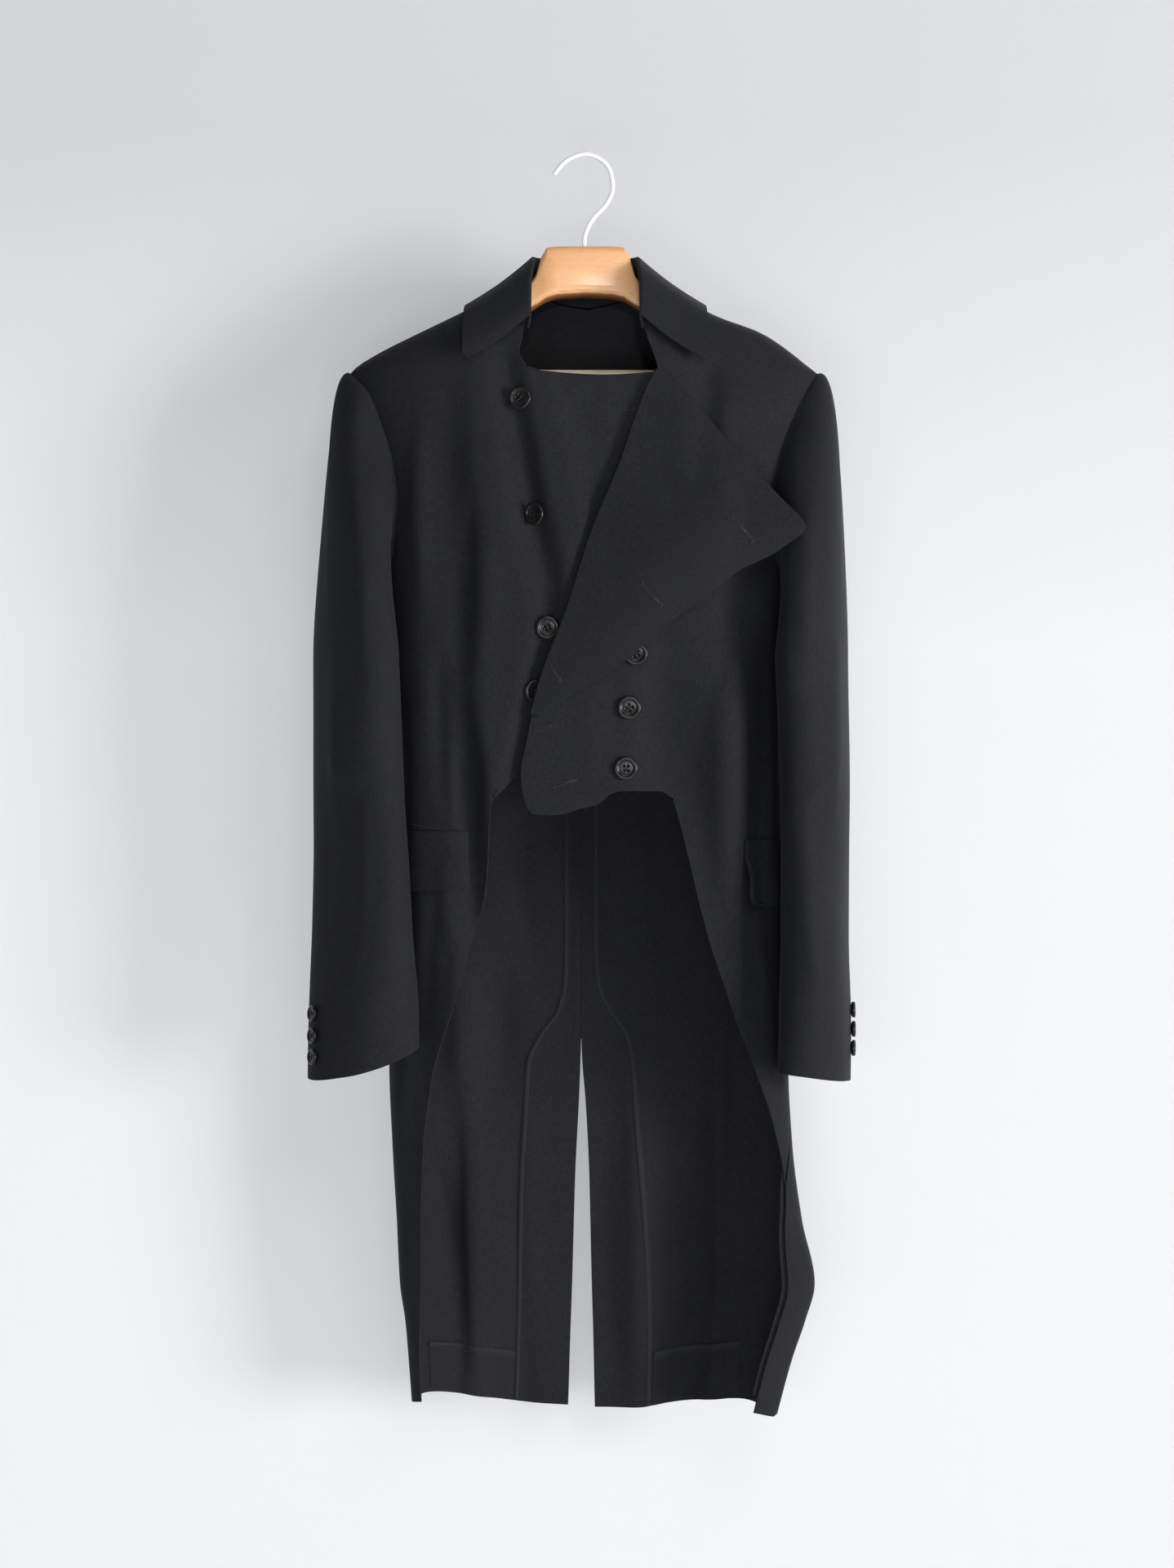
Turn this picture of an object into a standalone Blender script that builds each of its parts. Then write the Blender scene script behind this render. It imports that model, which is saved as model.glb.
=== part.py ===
"""A double-breasted tailcoat hanging on a wooden coat hanger.

The coat faces -Y and hangs from the hook, whose inner top is the origin. Tables are in
millimetres, and right and left are the wearer's: the wearer's right is at -X.
"""
import math

import bmesh
import bpy
from mathutils import Matrix, Vector
from mathutils.bvhtree import BVHTree

MM = 0.001
CLOTH = 1.6
GAP = 0.4
STRIP_GAP = 0.7
SEAM = 0.15
SEAM_TURN = 0.0006
LOW_SEAM_TURN = {"right": 0.0028, "left": 0.006}
PROBE = 0.6
FULLNESS = 2.5

FRONT_BUTTON_DIAMETER = 21.5
CUFF_BUTTON_DIAMETER = 15.0
BUTTON_THICKNESS = 4.0
BUTTON_SIDES = 16

HOOK_WIRE = 4.4
HOOK_SINK = 14.0
BAR_DIAMETER = 12.0
BAR_HALF_LENGTH = 172.0
BAR_HEIGHT = -205.0
PLUG_DIAMETER = 8.0
PLUG_THICKNESS = 3.0
BLOCK_BOTTOM = -131.0

# The body's girth by level: half widths to each side, and depths of front, back and side.
BODY_COLUMNS = ("z", "right", "left", "front", "back", "side")
BODY = [
    (-112, 57, 57, -18, 30, 5),
    (-125, 80, 80, -33, 38, 5),
    (-143, 109, 109, -45, 46, 5),
    (-151, 125, 125, -48, 48, 5),
    (-166, 156, 165, -53, 52, 5),
    (-184, 192, 192, -58, 56, 5),
    (-197, 213, 208, -61, 58, 5),
    (-203, 219, 216, -62, 58, 5),
    (-222, 221, 221, -66, 60, 6),
    (-255, 211, 211, -71, 62, 7),
    (-320, 200, 199, -76, 63, 8),
    (-420, 190, 188, -78, 61, 8),
    (-470, 186, 183, -77, 59, 8),
    (-600, 174, 183, -72, 52, 8),
    (-700, 177, 186, -68, 54, 8),
    (-842, 183, 189, -60, 60, 8),
    (-920, 180, 193, -54, 62, 8),
    (-990, 176, 202, -48, 63, 8),
    (-1050, 173, 214, -42, 64, 8),
    (-1085, 168, 205, -40, 64, 8),
    (-1120, 165, 193, -38, 64, 8),
    (-1175, 161, 178, -36, 64, 8),
]

# Soft vertical folds of the fronts and tails: path, half width, and depth (minus is a ridge).
FOLD_COLUMNS = ("x_top", "z_top", "x_bottom", "z_bottom", "width", "depth")
FOLD_START = 0.15
FOLD_END = 0.3
FRONT_FOLDS = [
    (-128, -230, -112, -640, 17, 5),
    (-158, -300, -150, -700, 12, -4),
    (-102, -240, -96, -560, 12, -4),
    (-108, -560, -98, -740, 11, 9),
    (112, -200, 106, -300, 14, 8),
    (150, -300, 128, -470, 12, 7),
    (96, -560, 102, -760, 20, 4),
    (128, -500, 136, -760, 14, -4),
]
BACK_FOLDS = [
    (-118, -780, -108, -1165, 15, -14),
    (-84, -760, -66, -1165, 18, 6),
    (-138, -960, -112, -1165, 12, 7),
    (128, -800, 120, -1165, 12, -12),
    (84, -900, 88, -1165, 20, 7),
    (44, -820, 48, -1165, 16, -4),
    (-70, -220, -60, -620, 18, 4),
    (66, -240, 70, -640, 16, 5),
]

# Edges of the panels, by level.
NECK_COLUMNS = ("z", "right", "left")
NECK = [
    (-113, -57, 57), (-124, -60, 58), (-140, -60, 57), (-160, -56, 53),
    (-176, -58, 57), (-190, -61, 62), (-203, -54, 66),
]
BACK_NECK = [(-113, -57, 57), (-119, -52, 52), (-127, -40, 40), (-133, -21, 23), (-136, 0, 6)]
FRONT_ARMHOLE = [
    (-204, -217, 215), (-222, -200, 204), (-250, -188, 190), (-280, -178, 179),
    (-320, -172, 172), (-370, -176, 174), (-405, -185, 182), (-421, -189.9, 187.9),
]
BACK_ARMHOLE = [
    (-204, -217, 215), (-222, -209, 208), (-250, -200, 200), (-280, -194, 193),
    (-320, -190, 189), (-370, -188, 186), (-405, -189, 187), (-421, -189.9, 187.9),
]
MIDDLE_COLUMNS = ("z", "right", "left")
MIDDLE = [
    (-203, -54, 78), (-300, -44, 80), (-400, -26, 68), (-470, -24, 62),
    (-560, -50, 74), (-597, -84, 82),
]
# The right front's hollow beside its buttons: where and how deep it is, how far off it swells
# again, how much, and how far back the rest lies under the left front.
ROLL_COLUMNS = ("z", "line", "deep", "width", "crown", "under")
ROLL = [
    (-165, -80, 0, 30, 0, 2), (-182, -76, 4, 30, 1, 4), (-206, -69, 8, 22, 3, 5),
    (-250, -62, 10, 28, 4, 6), (-300, -53, 11, 28, 4, 7), (-344, -46, 12, 33, 3, 8),
    (-407, -32, 11, 25, 0, 10), (-440, -27, 11, 18, 0, 12), (-490, -36, 13, -28, 0, 13),
    (-560, -52, 11, -28, 0, 11), (-700, -88, 8, -28, 0, 8),
]
ROLL_REACH = 28
ROLL_STEEP = 9
CROWN_WIDTH = 18
COVERED_DEPTH = 3.4
COVERED_REACH = 12
FREE_EDGE_COLUMNS = ("z", "right", "left")
FREE_EDGE = [
    (-203.5, 132, 66.5), (-222, 132, 57), (-242, 130, 49), (-295, 124, 31),
    (-350, 118, 8), (-436, 104, -20), (-470, 98, -34), (-512, 90, -47), (-540, 84, -54),
    (-562, 78, -59), (-590, 66, -54), (-597, 58, -47),
]
CUTAWAY_COLUMNS = ("z", "right", "left")
CUTAWAY = [
    (-597, -84, 82), (-618, -88, 87), (-650, -89, 94), (-685, -92, 102), (-730, -104, 114),
    (-790, -121, 135), (-852, -141, 158), (-900, -148, 174), (-950, -151, 186),
    (-1000, -152, 195), (-1040, -152, 207), (-1070, -153, 202), (-1110, -154, 190),
    (-1175, -152, 174),
]
HEM_COLUMNS = ("x", "z")
FRONT_HEM_RIGHT = [(-84, -597), (-76, -585), (-66, -579), (-40, -577), (60, -578)]
FRONT_HEM_LEFT = [
    (-50, -612), (-30, -613), (0, -606), (14, -602), (22, -594), (34, -591),
    (64, -591), (73, -592), (82, -599),
]
TAIL_HEM_RIGHT = [
    (-165, -1160), (-150, -1157), (-122, -1160), (-95, -1165), (-62, -1171), (-15, -1174),
]
TAIL_HEM_LEFT = [
    (8, -1176), (48, -1176), (82, -1172), (125, -1166), (150, -1165), (176, -1171),
]
SIDE_SEAM_COLUMNS = ("z", "right", "left")
SIDE_SEAM_TURN = [
    (-421, 0, 0), (-800, 0, 0), (-900, 2, -8), (-960, 5, -22), (-1040, 7, -32), (-1180, 5, -34),
]
CENTRE_COLUMNS = ("z", "right", "left")
CENTRE = [
    (-136, 3, 3), (-500, -3, -3), (-826, -4, -4), (-850, -4.6, -3), (-885, -6, 0),
    (-955, -9.5, 3.5), (-1060, -12.5, 6), (-1176, -17, 9.5),
]
VENT_FACING = [
    (-597, -18, 10), (-730, -18, 10), (-770, -19, 12), (-800, -26, 24), (-822, -42, 39),
    (-850, -54, 45), (-900, -57, 48), (-960, -60, 52), (-1050, -62, 57), (-1176, -67, 61),
]

# Sleeves: levels from the underarm to the cuff, with each flattened tube's middle, half
# length, half thickness, and turn of its long side from straight ahead.
SLEEVE_COLUMNS = ("z", "x", "y", "long", "short", "turn")
RIGHT_SLEEVE = [
    (-470, -211, -40, 65, 30, 28), (-600, -208, -41, 62, 31, 33), (-655, -206, -42, 60, 31, 38),
    (-725, -205, -43, 58, 31, 46), (-800, -204, -43, 57, 31, 58), (-839, -204, -43, 57, 30, 60),
]
LEFT_SLEEVE = [
    (-470, 208, -41, 64, 29, 19), (-600, 211, -41, 61, 29, 16), (-655, 211, -41, 60, 29, 15),
    (-725, 211, -41, 59, 29, 15), (-800, 211, -42, 58, 30, 18), (-852, 210, -42, 58, 30, 19),
]
SLEEVE_HEAD_REACH = 23
SLEEVE_HEAD_RISE = 3
CUFF_RISE_RIGHT = 24
CUFF_RISE_LEFT = 8
SLEEVE_SEAMS = (118, 292)

# The turned-back overlap: distances down the fold line, width across it, and how far the
# fold and the free edge stand forward.
TURN_COLUMNS = ("down", "width", "lift_fold", "lift_edge", "bulge")
TURN = [
    (3, 8, 2.2, 3, 0), (14, 34, 2.3, 5, 1), (26, 58, 2.4, 8, 2), (50, 100, 2.6, 14, 4),
    (73, 143, 2.8, 23, 6), (95, 178, 3.0, 34, 6), (112, 169, 3.2, 31, 7),
    (128, 158, 3.3, 27, 8), (150, 137, 3.5, 22, 8), (173, 123, 3.6, 17, 7),
    (200, 103, 3.6, 13, 6), (242, 77, 3.4, 9, 4), (260, 68, 3.2, 8, 3), (286, 51, 3.0, 6, 2),
    (307, 33, 2.8, 5, 1), (326, 18, 2.5, 4, 0.5), (338, 9, 2.3, 3, 0),
]
FOLD_TOP = (66.5, -203.5)
FOLD_BOTTOM = (-47, -512)

# The collar, from its front end to the centre back: neck seam, fold and leaf edge.
COLLAR_COLUMNS = ("seam_x", "seam_y", "seam_z", "fold_x", "fold_y", "fold_z",
                  "edge_x", "edge_y", "edge_z")
COLLAR = [
    (52, -54, -164, 50, -60, -158, 107, -64, -197),
    (54, -52, -156, 50, -58, -149, 112, -62, -190),
    (56, -40, -137, 50, -46, -128, 112, -54, -172),
    (56, -22, -120, 48, -25, -106, 112, -34, -151),
    (52, 2, -109, 47, 1, -95, 111, 5, -139),
    (44, 22, -117, 40, 22, -93, 93, 43, -143),
    (24, 30, -129, 22, 32, -92, 50, 57, -152),
    (0, 33, -133, 0, 35, -92, 0, 61, -156),
]

HOOK_COLUMNS = ("x", "z")
HOOK = [
    (-29, -17), (-22, -8), (-12, -1), (0, 2.2), (14, -3), (23, -14), (25.5, -30),
    (20, -44), (9, -56), (2, -67), (-1, -78), (-1, -100),
]
STAND_DROP = 3.6
ARM_COLUMNS = ("x", "top", "bottom", "half_depth")
ARM = [
    (0, -85.5, -131, 16), (26, -85.5, -132.5, 16), (36, -86.5, -135, 15), (41, -95, -138, 13),
    (46, -112, -141, 12), (60, -130, -150, 11), (90, -137.3, -171, 11), (130, -156.4, -197, 12),
    (170, -177.6, -222, 14), (190, -189, -226, 15), (203, -206, -222, 13),
]

ANGLE_STEP = 0.02
SHARP_ANGLE = math.radians(40)


def column(table, columns, name):
    place = columns.index(name)
    return [row[0] for row in table], [row[place] for row in table]


def smooth(keys, values, at):
    """A curve through the table's values with no overshoot between them."""
    if keys[0] > keys[-1]:
        keys = [-key for key in keys]
        at = -at
    if at <= keys[0]:
        return values[0]
    if at >= keys[-1]:
        return values[-1]
    last = len(keys) - 1
    spans = [keys[i + 1] - keys[i] for i in range(last)]
    rises = [(values[i + 1] - values[i]) / spans[i] for i in range(last)]
    place = max(i for i in range(last) if keys[i] <= at)

    def slope(i):
        if i == 0 or i == last:
            return rises[0] if i == 0 else rises[-1]
        if rises[i - 1] * rises[i] <= 0:
            return 0.0
        return 2 * rises[i - 1] * rises[i] / (rises[i - 1] + rises[i])

    span = spans[place]
    t = (at - keys[place]) / span
    low, high = values[place], values[place + 1]
    return ((2 * t**3 - 3 * t**2 + 1) * low + (t**3 - 2 * t**2 + t) * span * slope(place)
            + (3 * t**2 - 2 * t**3) * high + (t**3 - t**2) * span * slope(place + 1))


def read(table, columns, name, at):
    keys, values = column(table, columns, name)
    return smooth(keys, values, at)


def ease(value):
    value = min(1.0, max(0.0, value))
    return value * value * (3 - 2 * value)


def mix(low, high, share):
    return low + (high - low) * share


def girth(side, z):
    return read(BODY, BODY_COLUMNS, side, z)


def folds(table, x, z):
    total = 0.0
    for row in table:
        fold = dict(zip(FOLD_COLUMNS, row))
        down = (fold["z_top"] - z) / (fold["z_top"] - fold["z_bottom"])
        if -FOLD_START < down < 1 + FOLD_END:
            middle = mix(fold["x_top"], fold["x_bottom"], down)
            reach = ease((down + FOLD_START) / (2 * FOLD_START))
            reach *= ease((1 + FOLD_END - down) / 0.25)
            total += fold["depth"] * reach * math.exp(-((x - middle) / fold["width"]) ** 2)
    return total


def body_point(turn, z, half, recess=None):
    """A point of the coat's body: turn runs from the wearer's right side to the left."""
    cosine, sine = math.cos(turn), math.sin(turn)
    wide = girth("right" if cosine > 0 else "left", z)
    x = -math.copysign(wide * abs(cosine) ** (2 / FULLNESS), cosine)
    side = girth("side", z)
    reach = math.copysign(abs(sine) ** (2 / FULLNESS), sine)
    y = side + (girth(half, z) - side) * reach
    y += folds(FRONT_FOLDS if half == "front" else BACK_FOLDS, x, z) * abs(reach) ** 2
    if recess:
        y += recess(x, z)
    return Vector((x, y, z))


def turn_at(x, z):
    wide = girth("right" if x < 0 else "left", z)
    share = min(1.0, abs(x) / wide)
    cosine = share ** (FULLNESS / 2)
    return math.acos(cosine if x < 0 else -cosine)


def underlap_recess(x, z):
    """The right front hollows beside its buttons, swells, and lies back under the left."""
    line, deep, width, crown, under = (read(ROLL, ROLL_COLUMNS, name, z)
                                       for name in ROLL_COLUMNS[1:])

    def level(aside):
        swell = crown * math.exp(-((aside - width) / CROWN_WIDTH) ** 2)
        return under * ease((aside - width) / ROLL_REACH) - swell

    aside = x - line
    if aside < 0:
        hollow = deep * ease((aside + ROLL_REACH) / ROLL_REACH)
    else:
        fall = 0.6 * math.exp(-(aside / ROLL_STEEP) ** 2)
        fall += 0.4 * (1 - ease(aside / max(width, 12)))
        hollow = level(aside) + (deep - level(0)) * fall
    edge = read(FREE_EDGE, FREE_EDGE_COLUMNS, "left", z)
    covered = COVERED_DEPTH * ease((x - edge + 1.2 * COVERED_REACH) / COVERED_REACH)
    return max(hollow, covered) * ease((z + 640) / 60)


def right_front(turn, z):
    return body_point(turn, z, "front", underlap_recess)


def left_front(turn, z):
    return body_point(turn, z, "front")


def back(turn, z):
    return body_point(turn, z, "back")


def normal_at(surface, u, v, u_step, v_step):
    along = surface(u + u_step, v) - surface(u - u_step, v)
    down = surface(u, v + v_step) - surface(u, v - v_step)
    normal = along.cross(down)
    return normal.normalized() if normal.length > 1e-9 else Vector((0, 0, 1))


def material(name, color, roughness, metallic=0.0):
    made = bpy.data.materials.new(name)
    made.use_nodes = True
    shader = made.node_tree.nodes["Principled BSDF"]
    shader.inputs["Base Color"].default_value = (*color, 1)
    shader.inputs["Roughness"].default_value = roughness
    shader.inputs["Metallic"].default_value = metallic
    return made


def finish(name, bm, paint):
    bmesh.ops.recalc_face_normals(bm, faces=bm.faces)
    if bm.calc_volume(signed=True) < 0:
        bmesh.ops.reverse_faces(bm, faces=bm.faces)
    mesh = bpy.data.meshes.new(name)
    bm.to_mesh(mesh)
    bm.free()
    mesh.shade_smooth()
    mesh.set_sharp_from_angle(angle=SHARP_ANGLE)
    mesh.materials.append(material(name, *paint))
    made = bpy.data.objects.new(name, mesh)
    bpy.context.scene.collection.objects.link(made)
    return made


def cloth(name, surface, grid, paint, low=-CLOTH, high=0.0, facing=1, steps=(ANGLE_STEP, PROBE)):
    """A closed wall over a grid of surface places; a place that is None is left out."""
    bm = bmesh.new()
    layers = [{}, {}]
    for i, row in enumerate(grid):
        for j, place in enumerate(row):
            if place is not None:
                point = surface(*place)
                normal = normal_at(surface, *place, *steps) * facing
                for layer, out in zip(layers, (high, low)):
                    layer[i, j] = bm.verts.new((point + normal * out) * MM)
    outer, inner = layers
    pairs = {outer[key]: inner[key] for key in outer}
    skin = []
    for i in range(len(grid) - 1):
        for j in range(len(grid[0]) - 1):
            keys = [(i, j), (i, j + 1), (i + 1, j + 1), (i + 1, j)]
            if all(key in outer for key in keys):
                for half in (keys[:3], [keys[0], *keys[2:]]):
                    skin.append(bm.faces.new([outer[key] for key in half]))
                    bm.faces.new([inner[key] for key in reversed(half)])
    rims = [edge for edge in {e for face in skin for e in face.edges} if len(edge.link_faces) == 1]
    for edge in rims:
        start, end = edge.verts
        bm.faces.new((start, end, pairs[end], pairs[start]))
    loose = [vert for vert in bm.verts if not vert.link_faces]
    bmesh.ops.delete(bm, geom=loose, context="VERTS")
    return finish(name, bm, paint)


def spread(start, end, count):
    return [mix(start, end, i / count) for i in range(count + 1)]


WOOL = ((0.018, 0.018, 0.021), 0.85)
WOOL_INSIDE = ((0.021, 0.021, 0.024), 0.9)
BEECH = ((0.72, 0.42, 0.24), 0.45)
PALE_WOOD = ((0.78, 0.66, 0.48), 0.5)
HORN = ((0.02, 0.019, 0.018), 0.25)
WHITE_METAL = ((0.88, 0.89, 0.90), 0.3, 0.1)
BROWN = ((0.35, 0.14, 0.06), 0.5)

BACK_NECK_LEVELS = [-114, -119, -125, -131, -135.5]
TOP_LEVELS = [-114, -120, -130, -143, -158, -173, -188, -203.2]
CHEST_LEVELS = [-203.8, -214, -230, -250, -275, -305, -340, -380, -420, -450]
WAIST_LEVELS = [-485, -515, -540, -562, -580, -597]
SKIRT_LEVELS = [
    -615, -627, -634.5, -650, -680, -694, -735, -775, -800, -825, -852, -900, -950, -1000,
    -1040, -1075, -1115,
]
HEM_LEVEL = -1160
STRIP_TOP = -597
POCKET_END = {"right": -107, "left": 141}
POCKET_COLUMNS = 4
FREE_COLUMNS = 7
PANEL_COLUMNS = 7
STRIP_COLUMNS = 2


def outer_turn(side, z, armhole):
    """Where a panel's outer edge lies: shoulder seam, armhole, then side seam."""
    base = 0.0 if side == "right" else math.pi
    sign = 1 if side == "right" else -1
    seam = mix(SEAM_TURN, LOW_SEAM_TURN[side], ease((z + 800) / -100))
    seam += 0.03 * ease((z + 130) / 16)
    if z >= -203.5:
        return base + sign * seam
    if z > -421:
        edge = read(armhole, NECK_COLUMNS, side, z)
        return turn_at(edge, z) + sign * 0.003
    shift = math.radians(read(SIDE_SEAM_TURN, SIDE_SEAM_COLUMNS, side, z))
    sway = shift if armhole is FRONT_ARMHOLE else -shift
    return base + sway + sign * seam


def hem_drop(side, x, z):
    hem = TAIL_HEM_RIGHT if side == "right" else TAIL_HEM_LEFT
    return read(hem, HEM_COLUMNS, "z", x) - z if z == HEM_LEVEL else 0.0


def pocket_turn(side, z, start, end):
    """A line of the front's grid that runs down past the inner end of the pocket."""
    near = ease((z + 560) / -60) * ease((z + 790) / 80)
    pocket = turn_at(POCKET_END[side], z)
    return mix(mix(start, end, 0.5), pocket, near)


def front_grid(side):
    """Rows down a front panel, over three stretches: armhole, pocket line, middle, free edge."""
    grid = []
    for z in TOP_LEVELS:
        start = outer_turn(side, z, FRONT_ARMHOLE)
        end = turn_at(read(NECK, NECK_COLUMNS, side, z), z)
        if side == "right":
            turns = spread(start, end, 2 * POCKET_COLUMNS)
            grid.append([(t, z) for t in turns] + [None] * FREE_COLUMNS)
        else:
            middle = mix(start, end, 0.62)
            turns = spread(start, middle, 2 * POCKET_COLUMNS)
            turns += spread(middle, end, FREE_COLUMNS)[1:]
            grid.append([(t, z) for t in turns])
    hem = FRONT_HEM_RIGHT if side == "right" else FRONT_HEM_LEFT
    lowest = WAIST_LEVELS[-1]
    for z in CHEST_LEVELS + WAIST_LEVELS:
        start = outer_turn(side, z, FRONT_ARMHOLE)
        middle = turn_at(read(MIDDLE, MIDDLE_COLUMNS, side, z), z)
        end = turn_at(read(FREE_EDGE, FREE_EDGE_COLUMNS, side, z), z)
        pocket = pocket_turn(side, z, start, middle)
        turns = spread(start, pocket, POCKET_COLUMNS)
        turns += spread(pocket, middle, POCKET_COLUMNS)[1:]
        row = [(t, z) for t in turns]
        for t in spread(middle, end, FREE_COLUMNS)[1:]:
            share = ease((z + 485) / (lowest + 485)) if z < -485 else 0.0
            place = body_point(t, z, "front").x
            row.append((t, mix(z, z - lowest + read(hem, HEM_COLUMNS, "z", place), share)))
        grid.append(row)
    for z in SKIRT_LEVELS + [HEM_LEVEL]:
        start = outer_turn(side, z, FRONT_ARMHOLE)
        end = turn_at(read(CUTAWAY, CUTAWAY_COLUMNS, side, z), z)
        pocket = pocket_turn(side, z, start, end)
        turns = spread(start, pocket, POCKET_COLUMNS)
        turns += spread(pocket, end, POCKET_COLUMNS)[1:]
        row = [(t, z + hem_drop(side, body_point(t, z, "front").x, z)) for t in turns]
        grid.append(row + [None] * FREE_COLUMNS)
    return grid


def back_grid(side):
    """Rows down a back panel, from its outer edge to the vent strip's line and the centre."""
    grid = []
    levels = BACK_NECK_LEVELS + TOP_LEVELS[3:] + CHEST_LEVELS + WAIST_LEVELS
    for z in levels + SKIRT_LEVELS + [HEM_LEVEL]:
        start = outer_turn(side, z, BACK_ARMHOLE)
        inside = SEAM if side == "left" else -SEAM
        edge = read(CENTRE, CENTRE_COLUMNS, side, z) + inside
        if z > -136:
            edge = read(BACK_NECK, NECK_COLUMNS, side, z)
        end = turn_at(edge, z)
        strip = mix(start, end, 0.8)
        if z <= STRIP_TOP:
            strip = turn_at(read(VENT_FACING, CENTRE_COLUMNS, side, z), z)
        turns = spread(start, strip, PANEL_COLUMNS) + spread(strip, end, STRIP_COLUMNS)[1:]
        grid.append([(t, z + hem_drop(side, body_point(t, z, "back").x, z)) for t in turns])
    return grid


def sub_grid(grid, top, bottom, first, last, pull=0.02):
    """The part of a panel's grid that a piece lies on, its side edges drawn in a little."""
    rows = [list(row) for row in grid if row[0] and bottom - 0.5 <= row[0][1] <= top + 0.5]
    for i, j in ((0, 1), (-1, -2)):
        rows[i] = [a and b and (mix(a[0], b[0], 0.03), mix(a[1], b[1], 0.03))
                   for a, b in zip(rows[i], rows[j])]
    cut = []
    for row in rows:
        part = list(row[first:last + 1])
        (a, za), (b, zb) = part[0], part[1]
        part[0] = (mix(a, b, pull), mix(za, zb, pull))
        (a, za), (b, zb) = part[-1], part[-2]
        part[-1] = (mix(a, b, pull), mix(za, zb, pull))
        cut.append(part)
    return cut


def whole_front_right(turn, z):
    return right_front(turn, z) if math.sin(turn) >= 0 else back(-turn, z)


def whole_front_left(turn, z):
    return left_front(turn, z) if math.sin(turn) >= 0 else back(-turn, z)


def whole_back(turn, z):
    return back(turn, z) if math.sin(turn) >= 0 else left_front(-turn, z)


def sleeve_point(side, turn, down):
    """Down is 0 at the armhole seam, 1 at the underarm level and 2 at the cuff."""
    table = RIGHT_SLEEVE if side == "right" else LEFT_SLEEVE
    out = -1 if side == "right" else 1
    level = mix(table[0][0], table[-1][0], max(0.0, down - 1))
    values = {name: read(table, SLEEVE_COLUMNS, name, level) for name in SLEEVE_COLUMNS[1:]}
    lean = math.radians(values["turn"])
    ahead = Vector((-out * math.sin(lean), -math.cos(lean), 0))
    across = Vector((out * math.cos(lean), -math.sin(lean), 0))
    cosine, sine = math.cos(turn), math.sin(turn)
    place = Vector((values["x"], values["y"], level))
    place += ahead * values["long"] * math.copysign(abs(sine) ** 0.9, sine)
    place += across * values["short"] * math.copysign(abs(cosine) ** 0.9, cosine)
    rise = CUFF_RISE_RIGHT if side == "right" else CUFF_RISE_LEFT
    if down > 1:
        place.z -= rise * 0.5 * (cosine - sine) * ease((down - 1.7) / 0.3)
        place.y += 2.5 * math.sin(9 * down + 2 * turn) * ease((down - 1) * 4)
        return place
    start = armhole_point(side, turn)
    head = Vector((out * SLEEVE_HEAD_REACH * (0.25 + 0.75 * max(0.0, cosine)),
                   -14 * sine, 10 * min(0.0, cosine) + SLEEVE_HEAD_RISE * max(0.0, cosine)))
    rising = Vector((0, 0, 0.42 * (start.z - place.z)))
    first, last = start + head, place + rising
    t = down
    return (start * (1 - t)**3 + first * 3 * t * (1 - t)**2 + last * 3 * t**2 * (1 - t)
            + place * t**3)


def armhole_point(side, turn):
    """The armhole seam, with turn 0 at the shoulder, 90 in front and 180 at the underarm."""
    share = (1 - math.cos(turn)) / 2
    z = mix(-203.6, -420.6, share)
    table = FRONT_ARMHOLE if math.sin(turn) > 0 else BACK_ARMHOLE
    half = "front" if math.sin(turn) > 0 else "back"
    edge = read(table, NECK_COLUMNS, side, z)
    point = body_point(turn_at(edge, z), z, half)
    out = -1 if side == "right" else 1
    clear = 2.6 if side == "right" else 2.4
    return point + Vector((out * clear, 0, 0.6 * math.cos(turn)))


def sleeve(name, side, first, last, count):
    def surface(turn, down):
        return sleeve_point(side, turn, down)
    downs = [0.0, 0.14, 0.3, 0.5, 0.75, 1.0] + [1 + i / 8 for i in range(1, 9)]
    margin = math.radians(0.25)
    turns = spread(math.radians(first) + margin, math.radians(last) - margin, count)
    grid = [[(turn, down) for turn in turns] for down in downs]
    facing = 1 if side == "right" else -1
    return cloth(name, surface, grid, WOOL, facing=facing, steps=(0.03, 0.012))


def turned_back(across, down):
    """The overlap turned back over the left front, from its fold line outwards."""
    top, bottom = Vector((*FOLD_TOP,)), Vector((*FOLD_BOTTOM,))
    along = (bottom - top).normalized()
    sideways = Vector((-along.y, along.x))
    if sideways.x < 0:
        sideways = -sideways
    width = read(TURN, TURN_COLUMNS, "width", down)
    start = top + along * down
    start.x = read(FREE_EDGE, FREE_EDGE_COLUMNS, "left", start.y)
    place = start + sideways * width * across
    rest = left_front(turn_at(start.x, start.y), start.y).y
    shelf = mix(rest, max(rest, left_front(turn_at(min(place.x, 150), place.y), place.y).y), 0.5)
    lift = mix(read(TURN, TURN_COLUMNS, "lift_fold", down),
               read(TURN, TURN_COLUMNS, "lift_edge", down), ease(across))
    bulge = read(TURN, TURN_COLUMNS, "bulge", down) * math.sin(math.pi * across)
    return Vector((place.x, shelf - lift - bulge, place.y))


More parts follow.
